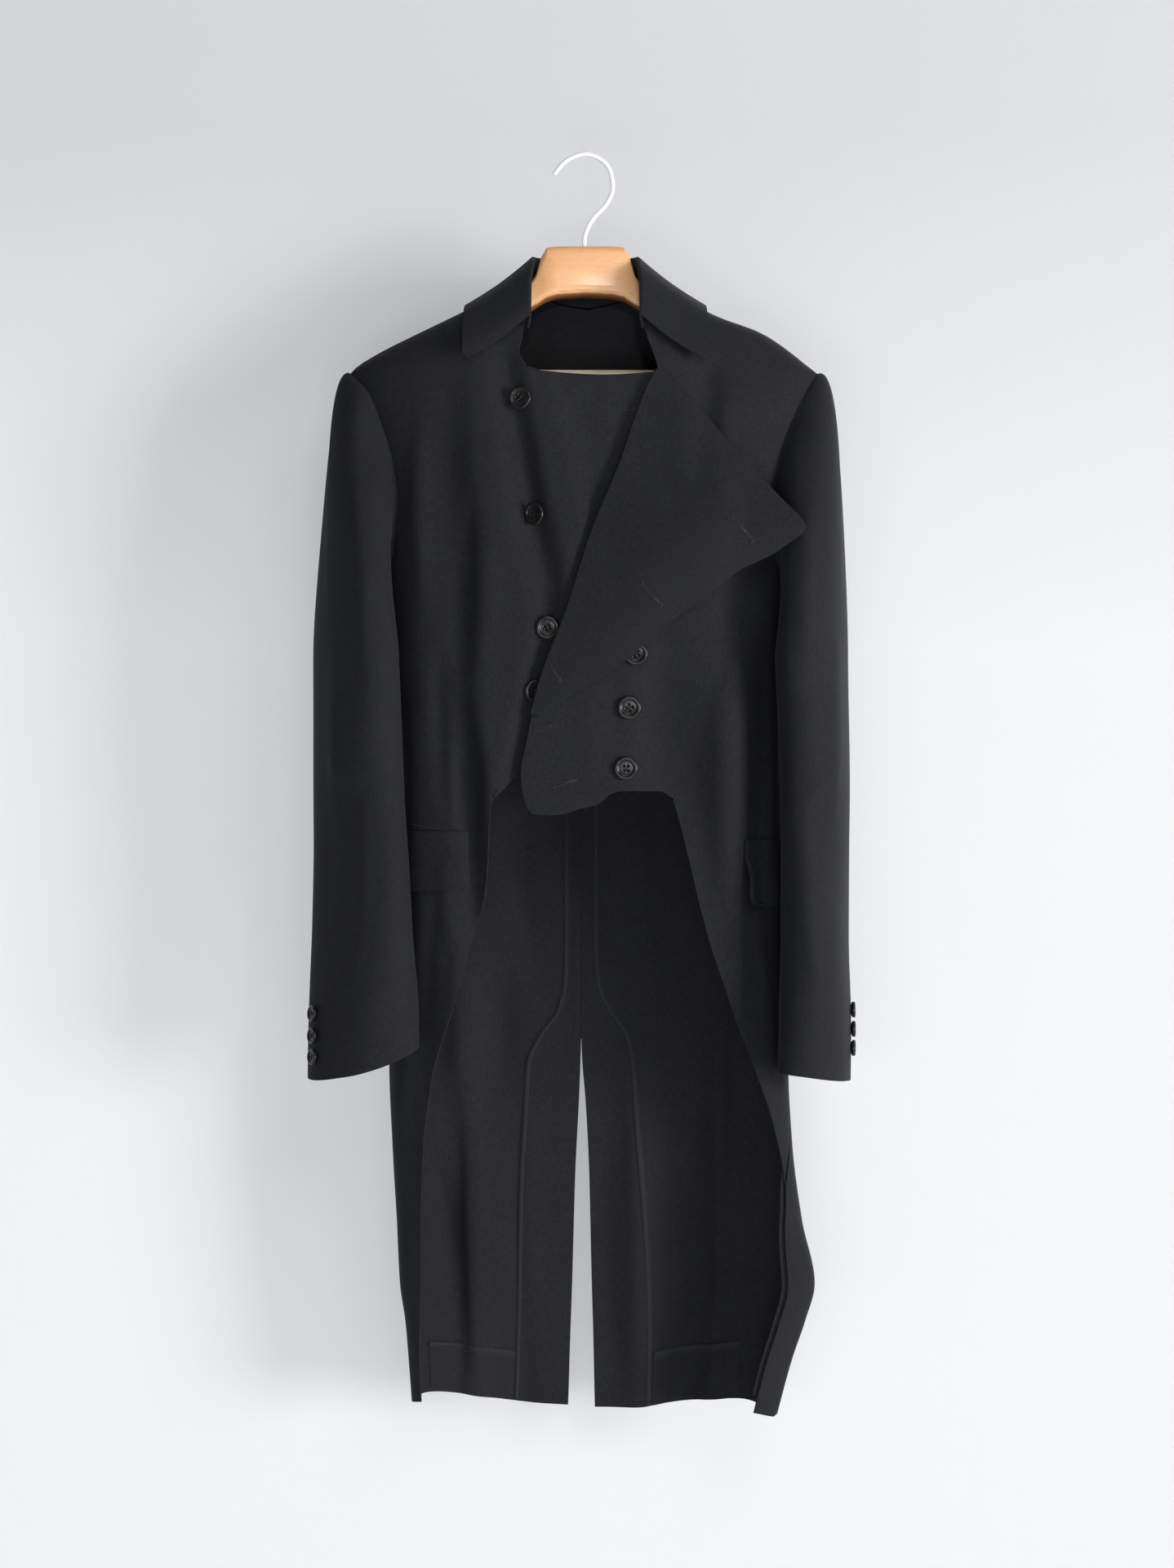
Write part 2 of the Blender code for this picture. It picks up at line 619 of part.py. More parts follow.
def collar_point(along, across):
    """Along runs from the right front end round the back; across from seam to leaf edge."""
    last = len(COLLAR) - 1
    side = -1 if along < last else 1
    station = along if along < last else 2 * last - along
    steps = list(range(last + 1))
    seam, fold, edge = (
        Vector([smooth(steps, [row[COLLAR_COLUMNS.index(f"{part}_{axis}")] for row in COLLAR],
                       station) * (side if axis == "x" else 1) for axis in "xyz"])
        for part in ("seam", "fold", "edge"))
    if across <= 1:
        return (seam - Vector((0, 0, STAND_DROP))).lerp(fold, across)
    out = (edge - fold)
    out.z = 0
    out = out.normalized()
    t = across - 1
    crest = fold + Vector((0, 0, 0.8)) + out * 2
    if t < 0.12:
        return fold.lerp(crest, t / 0.12) if t > 0 else fold
    share = (t - 0.12) / 0.88
    swell = (out + Vector((0, 0, 1))) * -1.5 * math.sin(math.pi * share)
    return crest.lerp(edge, share) + swell


def collar():
    last = len(COLLAR) - 1
    half = [0, 0.5, 1, 1.5, 2, 2.5, 3, 3.5, 4, 4.5, 5, 5.5, 6, 6.5, 7]
    stations = half + [2 * last - step for step in reversed(half[:-1])]
    across = [0.0, 0.5, 0.93, 1.12, 1.3, 1.55, 1.8, 2.0]
    grid = [[(station, place) for place in across] for station in stations]
    bm = bmesh.new()
    outer, inner = [], []
    points = [[collar_point(*place) for place in row] for row in grid]
    for i, row in enumerate(points):
        outer.append([])
        inner.append([])
        for j, point in enumerate(row):
            ahead = points[min(i + 1, len(points) - 1)][j] - points[max(i - 1, 0)][j]
            over = row[min(j + 1, len(row) - 1)] - row[max(j - 1, 0)]
            normal = over.cross(ahead).normalized()
            outer[-1].append(bm.verts.new((point + normal * CLOTH / 2) * MM))
            inner[-1].append(bm.verts.new((point - normal * CLOTH / 2) * MM))
    rows, columns = len(grid), len(across)
    for i in range(rows - 1):
        for j in range(columns - 1):
            bm.faces.new((outer[i][j], outer[i][j + 1], outer[i + 1][j + 1], outer[i + 1][j]))
            bm.faces.new((inner[i][j], inner[i + 1][j], inner[i + 1][j + 1], inner[i][j + 1]))
    border = [(0, j) for j in range(columns)] + [(i, columns - 1) for i in range(1, rows)]
    border += [(rows - 1, j) for j in range(columns - 2, -1, -1)]
    border += [(i, 0) for i in range(rows - 2, 0, -1)]
    for (a, b), (c, d) in zip(border, border[1:] + border[:1]):
        bm.faces.new((outer[a][b], inner[a][b], inner[c][d], outer[c][d]))
    finish("collar", bm, WOOL)


def inner_strip(name, grid):
    """A bound strip lying inside a back panel, on the panel's own points."""
    near = -CLOTH - STRIP_GAP
    cloth(name, whole_back, grid, WOOL_INSIDE, low=near - CLOTH, high=near, facing=-1)


def button(name, point, normal, diameter):
    """A turned button with a raised rim, seated on the cloth."""
    radius = diameter / 2
    profile = [(0, 0), (radius * 0.72, 0), (radius, BUTTON_THICKNESS * 0.45),
               (radius * 0.96, BUTTON_THICKNESS * 0.9), (radius * 0.84, BUTTON_THICKNESS),
               (radius * 0.66, BUTTON_THICKNESS * 0.72), (0, BUTTON_THICKNESS * 0.66)]
    bm = bmesh.new()
    verts = [bm.verts.new((r, 0, h)) for r, h in profile]
    edges = [bm.edges.new(pair) for pair in zip(verts, verts[1:])]
    bmesh.ops.spin(bm, geom=verts + edges, cent=(0, 0, 0), axis=(0, 0, 1),
                   angle=2 * math.pi, steps=BUTTON_SIDES, use_duplicate=False)
    bmesh.ops.remove_doubles(bm, verts=bm.verts, dist=0.01)
    bmesh.ops.transform(bm, matrix=Matrix.Scale(MM, 4), verts=bm.verts)
    made = finish(name, bm, HORN)
    made.location = (point + normal * GAP) * MM
    made.rotation_euler = normal.to_track_quat("Z", "Y").to_euler()
    return made


def seat(carrier, point, normal, diameter):
    """The height at which a button clears the cloth that carries it."""
    mesh = carrier.data
    tree = BVHTree.FromPolygons([v.co for v in mesh.vertices], [f.vertices for f in mesh.polygons])
    side = normal.orthogonal().normalized()
    over = normal.cross(side)
    proud = -math.inf
    for share, lifted in ((0.0, 0.0), (0.4, 0.0), (0.72, 0.0), (1.0, BUTTON_THICKNESS * 0.45)):
        for i in range(16):
            angle = math.tau * i / 16
            spoke = (side * math.cos(angle) + over * math.sin(angle)) * diameter / 2 * share
            start = point + spoke + normal * 20
            hit = tree.ray_cast(start * MM, -normal, 60 * MM)[0]
            if hit:
                proud = max(proud, (hit / MM - point).dot(normal) - lifted)
    return point + normal * proud


def front_button(name, carrier, surface, x, z, reach=0.06):
    """A button on a front; reach is how widely, in turn, the cloth under it is averaged."""
    turn = turn_at(x, z)
    normal = normal_at(surface, turn, z, reach, 8)
    point = seat(carrier, surface(turn, z), normal, FRONT_BUTTON_DIAMETER)
    button(name, point, normal, FRONT_BUTTON_DIAMETER)


def cuff_button(name, carrier, side, turn, level):
    table = RIGHT_SLEEVE if side == "right" else LEFT_SLEEVE
    down = 1 + (level - table[0][0]) / (table[-1][0] - table[0][0])

    def surface(at, along):
        return sleeve_point(side, at, along)
    facing = 1 if side == "right" else -1
    normal = normal_at(surface, math.radians(turn), down, 0.12, 0.02) * facing
    point = seat(carrier, surface(math.radians(turn), down), normal, CUFF_BUTTON_DIAMETER)
    button(name, point, normal, CUFF_BUTTON_DIAMETER)


def hanger_body():
    """The neck block running into two sloping arms, with the hook and bar holes bored."""
    bm = bmesh.new()
    stations = [(-row[0], *row[1:]) for row in reversed(ARM)] + ARM[1:]
    rings = []
    for x, top, bottom, half in stations:
        chamfer = min(5.0, half * 0.4)
        outline = [(-half, bottom + chamfer), (-half, top - chamfer), (-half + chamfer, top),
                   (half - chamfer, top), (half, top - chamfer), (half, bottom + chamfer),
                   (half - chamfer, bottom), (-half + chamfer, bottom)]
        rings.append([bm.verts.new(Vector((x, y, z)) * MM) for y, z in outline])
    for near, far in zip(rings, rings[1:]):
        for i in range(8):
            bm.faces.new((near[i], near[i - 1], far[i - 1], far[i]))
    bm.faces.new(rings[0])
    bm.faces.new(reversed(rings[-1]))
    body = finish("hanger_body", bm, BEECH)
    shank = HOOK_WIRE / 2 + 0.3
    bore(body, "hook_hole", (HOOK[-1][0], 0, -85.5), shank, 2 * HOOK_SINK + 2, (0, 0, 0))
    bore(body, "plug_hole", (0, 0, BLOCK_BOTTOM), PLUG_DIAMETER / 2 + 0.3,
         2 * PLUG_THICKNESS + 1, (0, 0, 0))
    for side, sign in (("right", -1), ("left", 1)):
        reach = BAR_HALF_LENGTH + 0.4
        bore(body, f"bar_hole_{side}", (sign * (reach - 30), 0, BAR_HEIGHT),
             BAR_DIAMETER / 2 + 0.3, 60, (0, math.pi / 2, 0))
    return body


def bore(body, name, place, radius, length, turn):
    bm = bmesh.new()
    bmesh.ops.create_cone(bm, cap_ends=True, segments=16, radius1=radius * MM,
                          radius2=radius * MM, depth=length * MM)
    mesh = bpy.data.meshes.new(name)
    bm.to_mesh(mesh)
    bm.free()
    cutter = bpy.data.objects.new(name, mesh)
    bpy.context.scene.collection.objects.link(cutter)
    cutter.location = Vector(place) * MM
    cutter.rotation_euler = turn
    cutter.hide_render = True
    cutter.display_type = "WIRE"
    cut = body.modifiers.new(name, "BOOLEAN")
    cut.operation = "DIFFERENCE"
    cut.object = cutter


def rod(name, radius, length, place, turn, paint, segments=16):
    bm = bmesh.new()
    bmesh.ops.create_cone(bm, cap_ends=True, segments=segments, radius1=radius * MM,
                          radius2=radius * MM, depth=length * MM)
    made = finish(name, bm, paint)
    made.location = Vector(place) * MM
    made.rotation_euler = turn
    return made


def hook():
    """A wire hook read from a smooth curve through its own points."""
    xs, zs = [row[0] for row in HOOK], [row[1] for row in HOOK]
    places = [0.0]
    for i in range(1, len(HOOK)):
        places.append(places[-1] + math.hypot(xs[i] - xs[i - 1], zs[i] - zs[i - 1]))
    curve = bpy.data.curves.new("hanger_hook", "CURVE")
    curve.dimensions = "3D"
    curve.bevel_depth = HOOK_WIRE / 2 * MM
    curve.bevel_resolution = 3
    curve.use_fill_caps = True
    count = 30
    spline = curve.splines.new("POLY")
    spline.points.add(count)
    for i in range(count + 1):
        at = places[-1] * i / count
        x, z = smooth(places, xs, at), smooth(places, zs, at)
        spline.points[i].co = (x * MM, 0, z * MM, 1)
    curve.materials.append(material("hanger_hook", *WHITE_METAL))
    made = bpy.data.objects.new("hanger_hook", curve)
    bpy.context.scene.collection.objects.link(made)


def build():
    for old in list(bpy.data.objects):
        bpy.data.objects.remove(old)
    fronts = {side: front_grid(side) for side in ("right", "left")}
    backs = {side: back_grid(side) for side in ("right", "left")}
    surfaces = {"right": whole_front_right, "left": whole_front_left}
    panels, sleeves = {}, {}
    for side in ("right", "left"):
        panels[side] = cloth(f"front_{side}", surfaces[side], fronts[side], WOOL)
        cloth(f"back_{side}", whole_back, backs[side], WOOL, facing=-1)
    downs = [row[0] for row in TURN]
    grid = [[(across, down) for across in (0, 0.15, 0.35, 0.55, 0.75, 0.9, 1)] for down in downs]
    cloth("facing_left", turned_back, grid, WOOL_INSIDE, facing=-1, steps=(0.02, 0.4))
    collar()
    seam_front, seam_back = SLEEVE_SEAMS
    for side in ("right", "left"):
        sleeves[side] = sleeve(f"sleeve_top_{side}", side, seam_back - 360, seam_front, 13)
        sleeve(f"sleeve_under_{side}", side, seam_front, seam_back, 10)
        strip_end = PANEL_COLUMNS + STRIP_COLUMNS
        inner_strip(f"vent_facing_{side}",
                    sub_grid(backs[side], STRIP_TOP, HEM_LEVEL - 20, PANEL_COLUMNS, strip_end))
        inner_strip(f"hem_facing_{side}",
                    sub_grid(backs[side], -1115, HEM_LEVEL - 20, 1, PANEL_COLUMNS))
        top, middle, bottom = (-627, -634.5, -680) if side == "right" else (-634.5, -650, -694)
        for piece, above, below in (("welt", top, middle), ("flap", middle, bottom)):
            grid = sub_grid(fronts[side], above, below, 1, POCKET_COLUMNS)
            cloth(f"pocket_{piece}_{side}", surfaces[side], grid, WOOL, low=GAP, high=CLOTH + GAP)
    for i, (x, z, reach) in enumerate([(-58, -233, 0.06), (-42, -338, 0.02), (-35, -442, 0.06),
                                       (-46, -499, 0.06), (-34, -552, 0.06)]):
        front_button(f"button_right_{i + 1}", panels["right"], right_front, x, z, reach)
    for i, (x, z) in enumerate([(46, -466), (40, -515), (37, -570)]):
        front_button(f"button_left_{i + 1}", panels["left"], left_front, x, z)
    for i in range(3):
        for side, turn, level in (("right", -38, -786), ("left", -20, -790)):
            cuff_button(f"cuff_button_{side}_{i + 1}", sleeves[side], side, turn, level - 16.5 * i)
    hanger_body()
    rod("hanger_bar", BAR_DIAMETER / 2, 2 * BAR_HALF_LENGTH, (0, 0, BAR_HEIGHT),
        (0, math.pi / 2, 0), PALE_WOOD)
    rod("hanger_plug", PLUG_DIAMETER / 2, PLUG_THICKNESS,
        (0, 0, BLOCK_BOTTOM + PLUG_THICKNESS / 2), (0, 0, 0), BROWN)
    hook()


build()
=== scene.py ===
"""A double-breasted tailcoat on a wooden coat hanger, finished in cloth, horn and beech.

Tables are in millimetres in the row frame. Right and left are the wearer's, and the
wearer's right is at -X. The coat faces -Y.
"""

import math

import bmesh
import bpy
import numpy as np
from mathutils import Matrix, Vector
from mathutils.bvhtree import BVHTree


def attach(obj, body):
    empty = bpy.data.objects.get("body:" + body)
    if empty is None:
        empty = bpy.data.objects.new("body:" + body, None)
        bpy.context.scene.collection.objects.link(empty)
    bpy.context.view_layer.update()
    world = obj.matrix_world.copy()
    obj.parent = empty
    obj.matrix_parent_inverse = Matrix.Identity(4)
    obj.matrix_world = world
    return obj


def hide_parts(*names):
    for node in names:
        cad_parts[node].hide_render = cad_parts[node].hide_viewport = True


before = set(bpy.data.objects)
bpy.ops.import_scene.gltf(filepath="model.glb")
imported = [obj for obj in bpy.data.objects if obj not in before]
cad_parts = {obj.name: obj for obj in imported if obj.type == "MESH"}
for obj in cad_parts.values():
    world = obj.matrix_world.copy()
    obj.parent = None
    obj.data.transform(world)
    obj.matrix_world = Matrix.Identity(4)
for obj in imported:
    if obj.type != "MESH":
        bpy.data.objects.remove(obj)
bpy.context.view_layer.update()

MM = 0.001
CLOTH = 1.6
STRIP_GAP = 0.7
SEAM = 0.15
SEAM_TURN = 0.0006
LOW_SEAM_TURN = {"right": 0.0028, "left": 0.006}
FULLNESS = 2.5
ROW_STEP = 5.0

BODY_COLUMNS = ("z", "right", "left", "front", "back", "side")
BODY = [
    (-112, 57, 57, -18, 30, 5), (-125, 80, 80, -33, 38, 5), (-143, 109, 109, -45, 46, 5),
    (-151, 125, 125, -48, 48, 5), (-166, 156, 165, -53, 52, 5), (-184, 192, 192, -58, 56, 5),
    (-197, 213, 208, -61, 58, 5), (-203, 219, 216, -62, 58, 5), (-222, 221, 221, -66, 60, 6),
    (-255, 211, 211, -71, 62, 7), (-320, 200, 199, -76, 63, 8), (-420, 190, 188, -78, 61, 8),
    (-470, 186, 184, -77, 59, 8), (-600, 174, 186, -72, 52, 8), (-700, 177, 188, -68, 54, 8),
    (-842, 183, 189, -60, 60, 8), (-920, 180, 193, -54, 62, 8), (-990, 176, 202, -48, 63, 8),
    (-1050, 173, 214, -42, 64, 8), (-1085, 168, 205, -40, 64, 8),
    (-1120, 165, 193, -38, 64, 8), (-1175, 161, 178, -36, 64, 8),
]
FOLD_COLUMNS = ("x_top", "z_top", "x_bottom", "z_bottom", "width", "depth")
FOLD_START = 0.15
FOLD_END = 0.3
FRONT_FOLDS = [
    (-128, -230, -112, -640, 17, 5), (-158, -300, -150, -700, 12, -4),
    (-102, -240, -96, -560, 12, -4), (-108, -560, -98, -740, 11, 9),
    (112, -200, 106, -300, 14, 8), (150, -300, 128, -470, 12, 7),
    (96, -560, 102, -760, 20, 4), (128, -500, 136, -760, 14, -4),
]
BACK_FOLDS = [
    (-118, -780, -108, -1165, 15, -14), (-84, -760, -66, -1165, 18, 6),
    (-138, -960, -112, -1165, 12, 7), (128, -800, 120, -1165, 12, -12),
    (84, -900, 88, -1165, 20, 7), (44, -820, 48, -1165, 16, -4),
    (-70, -220, -60, -620, 18, 4), (66, -240, 70, -640, 16, 5),
]
EDGE_COLUMNS = ("z", "right", "left")
NECK = [
    (-113, -57, 57), (-124, -60, 58), (-140, -60, 57), (-160, -56, 53),
    (-176, -58, 57), (-190, -61, 62), (-203, -54, 66),
]
BACK_NECK = [(-113, -57, 57), (-119, -52, 52), (-127, -40, 40), (-133, -21, 23), (-136, 0, 6)]
FRONT_ARMHOLE = [
    (-204, -217, 215), (-222, -200, 204), (-250, -188, 190), (-280, -178, 179),
    (-320, -172, 172), (-370, -176, 174), (-405, -185, 182), (-421, -189.9, 187.9),
]
BACK_ARMHOLE = [
    (-204, -217, 215), (-222, -209, 208), (-250, -200, 200), (-280, -194, 193),
    (-320, -190, 189), (-370, -188, 186), (-405, -189, 187), (-421, -189.9, 187.9),
]
MIDDLE = [
    (-203, -54, 78), (-300, -44, 80), (-400, -26, 68), (-470, -24, 62),
    (-560, -50, 74), (-597, -84, 82),
]
ROLL_COLUMNS = ("z", "line", "deep", "width", "crown", "under")
ROLL = [
    (-165, -80, 0, 30, 0, 2), (-182, -76, 4, 30, 1, 4), (-206, -69, 8, 22, 3, 5),
    (-250, -62, 10, 28, 4, 6), (-300, -53, 11, 28, 4, 7), (-344, -46, 12, 33, 3, 8),
    (-407, -32, 11, 25, 0, 10), (-440, -27, 11, 18, 0, 12), (-490, -36, 13, -28, 0, 13),
    (-560, -52, 11, -28, 0, 11), (-700, -88, 8, -28, 0, 8),
]
ROLL_REACH = 28
ROLL_STEEP = 9
CROWN_WIDTH = 18
COVERED_DEPTH = 3.4
COVERED_REACH = 12
FREE_EDGE = [
    (-203.5, 132, 66.5), (-222, 132, 57), (-242, 130, 49), (-295, 124, 31),
    (-350, 118, 8), (-436, 104, -20), (-470, 98, -34), (-512, 90, -47), (-540, 84, -54),
    (-562, 78, -59), (-590, 66, -54), (-597, 58, -47),
]
CUTAWAY = [
    (-597, -84, 82), (-618, -88, 87), (-650, -89, 94), (-685, -92, 102), (-730, -104, 114),
    (-790, -121, 135), (-852, -141, 158), (-900, -148, 174), (-950, -151, 186),
    (-1000, -152, 195), (-1040, -152, 207), (-1070, -153, 202), (-1110, -154, 190),
    (-1175, -152, 174),
]
HEM_COLUMNS = ("x", "z")
FRONT_HEM = {
    "right": [(-84, -597), (-76, -585), (-66, -579), (-40, -577), (60, -578)],
    "left": [(-50, -612), (-30, -613), (0, -606), (14, -602), (22, -594), (34, -591),
             (64, -591), (73, -592), (82, -599)],
}
TAIL_HEM = {
    "right": [(-165, -1160), (-150, -1157), (-122, -1160), (-95, -1165), (-62, -1171),
              (-15, -1174)],
    "left": [(8, -1176), (48, -1176), (82, -1172), (125, -1166), (150, -1165), (176, -1171)],
}
SIDE_SEAM_TURN = [
    (-421, 0, 0), (-800, 0, 0), (-900, 2, -8), (-960, 5, -22), (-1040, 7, -32), (-1180, 5, -34),
]
CENTRE = [
    (-136, 3, 3), (-500, -3, -3), (-826, -4, -4), (-850, -4.6, -3), (-885, -6, 0),
    (-955, -9.5, 3.5), (-1060, -12.5, 6), (-1176, -17, 9.5),
]
VENT_FACING = [
    (-597, -18, 10), (-730, -18, 10), (-770, -19, 12), (-800, -26, 24), (-822, -42, 39),
    (-850, -54, 45), (-900, -57, 48), (-960, -60, 52), (-1050, -62, 57), (-1176, -67, 61),
]
SLEEVE_COLUMNS = ("z", "x", "y", "long", "short", "turn")
SLEEVE = {
    "right": [
        (-470, -211, -40, 65, 30, 28), (-600, -208, -41, 62, 31, 33),
        (-655, -206, -42, 60, 31, 38), (-725, -205, -43, 58, 31, 46),
        (-800, -204, -43, 57, 31, 58), (-839, -204, -43, 57, 30, 60),
    ],
    "left": [
        (-470, 208, -41, 64, 29, 19), (-600, 211, -41, 61, 29, 16), (-655, 211, -41, 60, 29, 15),
        (-725, 211, -41, 59, 29, 15), (-800, 211, -42, 58, 30, 18), (-852, 210, -42, 58, 30, 19),
    ],
}
SLEEVE_HEAD_REACH = 23
SLEEVE_HEAD_RISE = 3
CUFF_RISE = {"right": 24, "left": 8}
SLEEVE_SEAMS = (118, 292)
SEAM_TURN_IN = 0.03
ARMHOLE_CLEAR = {"right": 2.6, "left": 2.4}
TURN_COLUMNS = ("down", "width", "lift_fold", "lift_edge", "bulge")
TURN = [
    (3, 8, 2.2, 3, 0), (14, 34, 2.3, 5, 1), (26, 58, 2.4, 8, 2), (50, 100, 2.6, 14, 4),
    (73, 143, 2.8, 23, 6), (95, 178, 3.0, 34, 6), (112, 169, 3.2, 31, 7),
    (128, 158, 3.3, 27, 8), (150, 137, 3.5, 22, 8), (173, 123, 3.6, 17, 7),
    (200, 103, 3.6, 13, 6), (242, 77, 3.4, 9, 4), (260, 68, 3.2, 8, 3), (286, 51, 3.0, 6, 2),
    (307, 33, 2.8, 5, 1), (326, 18, 2.5, 4, 0.5), (338, 9, 2.3, 3, 0),
]
FOLD_ROLL = 0.06
FOLD_TOP = (66.5, -203.5)
FOLD_BOTTOM = (-47, -512)
COLLAR_COLUMNS = ("seam_x", "seam_y", "seam_z", "fold_x", "fold_y", "fold_z",
                  "edge_x", "edge_y", "edge_z")
COLLAR = [
    (52, -54, -164, 50, -60, -158, 107, -64, -197), (54, -52, -156, 50, -58, -149, 112, -62, -190),
    (56, -40, -137, 50, -46, -128, 112, -54, -172), (56, -22, -120, 48, -25, -106, 112, -34, -151),
    (52, 2, -109, 47, 1, -95, 111, 5, -139), (44, 22, -117, 40, 22, -93, 93, 43, -143),
    (24, 30, -129, 22, 32, -92, 50, 57, -152), (0, 33, -133, 0, 35, -92, 0, 61, -156),
]
STAND_DROP = 3.6
LEAF_STANDS_OFF = 3.0
TOP_STRETCH = (-114, -203.2)
CHEST_STRETCH = (-203.8, -597)
SKIRT_STRETCH = (-602, -1160)
HEM_LEVEL = -1160


def smooth(keys, values, at):
    """A curve through the table's values with no overshoot between them."""
    keys, values, at = (np.asarray(item, float) for item in (keys, values, at))
    if keys[0] > keys[-1]:
        keys, at = -keys, -at
    at = np.clip(at, keys[0], keys[-1])
    spans = np.diff(keys)
    rises = np.diff(values) / spans
    slopes = np.concatenate([rises[:1], np.zeros(len(spans) - 1), rises[-1:]])
    product, total = rises[:-1] * rises[1:], rises[:-1] + rises[1:]
    slopes[1:-1] = np.where(product > 0, 2 * product / np.where(total == 0, 1, total), 0)
    place = np.clip(np.searchsorted(keys, at, side="right") - 1, 0, len(spans) - 1)
    span = spans[place]
    t = (at - keys[place]) / span
    return ((2 * t**3 - 3 * t**2 + 1) * values[place]
            + (t**3 - 2 * t**2 + t) * span * slopes[place]
            + (3 * t**2 - 2 * t**3) * values[place + 1] + (t**3 - t**2) * span * slopes[place + 1])


def read(table, columns, name, at):
    at_name = columns.index(name)
    return smooth([row[0] for row in table], [row[at_name] for row in table], at)


def ease(value):
    value = np.clip(value, 0.0, 1.0)
    return value * value * (3 - 2 * value)


def mix(low, high, share):
    return low + (high - low) * share


def spread(start, end, count):
    return np.linspace(float(start), float(end), count + 1)


def stack(x, y, z):
    return np.stack(np.broadcast_arrays(x, y, z), axis=-1)


def unit(vectors):
    length = np.linalg.norm(vectors, axis=-1, keepdims=True)
    return vectors / np.where(length < 1e-9, 1, length)


def girth(side, z):
    return read(BODY, BODY_COLUMNS, side, z)


def folds(table, x, z):
    total = 0.0
    for row in table:
        fold = dict(zip(FOLD_COLUMNS, row))
        down = (fold["z_top"] - z) / (fold["z_top"] - fold["z_bottom"])
        middle = mix(fold["x_top"], fold["x_bottom"], down)
        reach = ease((down + FOLD_START) / (2 * FOLD_START)) * ease((1 + FOLD_END - down) / 0.25)
        total = total + fold["depth"] * reach * np.exp(-((x - middle) / fold["width"]) ** 2)
    return total


def body_point(turn, z, half, recess=None):
    """A point of the coat's body: turn runs from the wearer's right side to the left."""
    cosine, sine = np.cos(turn), np.sin(turn)
    wide = np.where(cosine > 0, girth("right", z), girth("left", z))
    x = -np.sign(cosine) * wide * np.abs(cosine) ** (2 / FULLNESS)
    side = girth("side", z)
    reach = np.sign(sine) * np.abs(sine) ** (2 / FULLNESS)
    y = side + (girth(half, z) - side) * reach
    y = y + folds(FRONT_FOLDS if half == "front" else BACK_FOLDS, x, z) * reach**2
    if recess:
        y = y + recess(x, z)
    return stack(x, y, z)


def turn_at(x, z):
    wide = np.where(np.asarray(x) < 0, girth("right", z), girth("left", z))
    cosine = np.clip(np.abs(x) / wide, 0, 1) ** (FULLNESS / 2)
    return np.arccos(np.where(np.asarray(x) < 0, cosine, -cosine))


def underlap_recess(x, z):
    """The right front hollows beside its buttons, swells, and lies back under the left."""
    line, deep, width, crown, under = (read(ROLL, ROLL_COLUMNS, name, z)
                                       for name in ROLL_COLUMNS[1:])

    def level(aside):
        swell = crown * np.exp(-((aside - width) / CROWN_WIDTH) ** 2)
        return under * ease((aside - width) / ROLL_REACH) - swell

    aside = x - line
    fall = 0.6 * np.exp(-(aside / ROLL_STEEP) ** 2)
    fall = fall + 0.4 * (1 - ease(aside / np.maximum(width, 12)))
    hollow = np.where(aside < 0, deep * ease((aside + ROLL_REACH) / ROLL_REACH),
                      level(aside) + (deep - level(0)) * fall)
    edge = read(FREE_EDGE, EDGE_COLUMNS, "left", z)
    covered = COVERED_DEPTH * ease((x - edge + 1.2 * COVERED_REACH) / COVERED_REACH)
    return np.maximum(hollow, covered) * ease((z + 640) / 60)


def right_front(turn, z):
    return body_point(turn, z, "front", underlap_recess)


def left_front(turn, z):
    return body_point(turn, z, "front")


def whole_back(turn, z):
    flip = np.sin(turn) < 0
    return np.where(flip[..., None], left_front(-turn, z), body_point(turn, z, "back"))


def whole_front(surface):
    def both(turn, z):
        flip = np.sin(turn) < 0
        return np.where(flip[..., None], body_point(-turn, z, "back"), surface(turn, z))
    return both


def outer_turn(side, z, armhole):
    """Where a panel's outer edge lies: shoulder seam, armhole, then side seam."""
    base, sign = (0.0, 1) if side == "right" else (math.pi, -1)
    seam = mix(SEAM_TURN, LOW_SEAM_TURN[side], ease((z + 800) / -100))
    seam += 0.03 * ease((z + 130) / 16)
    if z >= -203.5:
        return base + sign * seam
    if z > -421:
        return turn_at(read(armhole, EDGE_COLUMNS, side, z), z) + sign * 0.003
    shift = math.radians(read(SIDE_SEAM_TURN, EDGE_COLUMNS, side, z))
    sway = shift if armhole is FRONT_ARMHOLE else -shift
    return base + sway + sign * seam


def hem_drop(side, x, z):
    return read(TAIL_HEM[side], HEM_COLUMNS, "z", x) - z


def stretch(pair, step=ROW_STEP):
    return spread(*pair, math.ceil(abs(pair[1] - pair[0]) / step))


def hem_levels():
    """Skirt levels, each with the share of the hem's own wave that it takes on."""
    return [(z, ease((z + 1100) / (HEM_LEVEL + 1100))) for z in stretch(SKIRT_STRETCH)]


PANEL = 40
FREE = 30


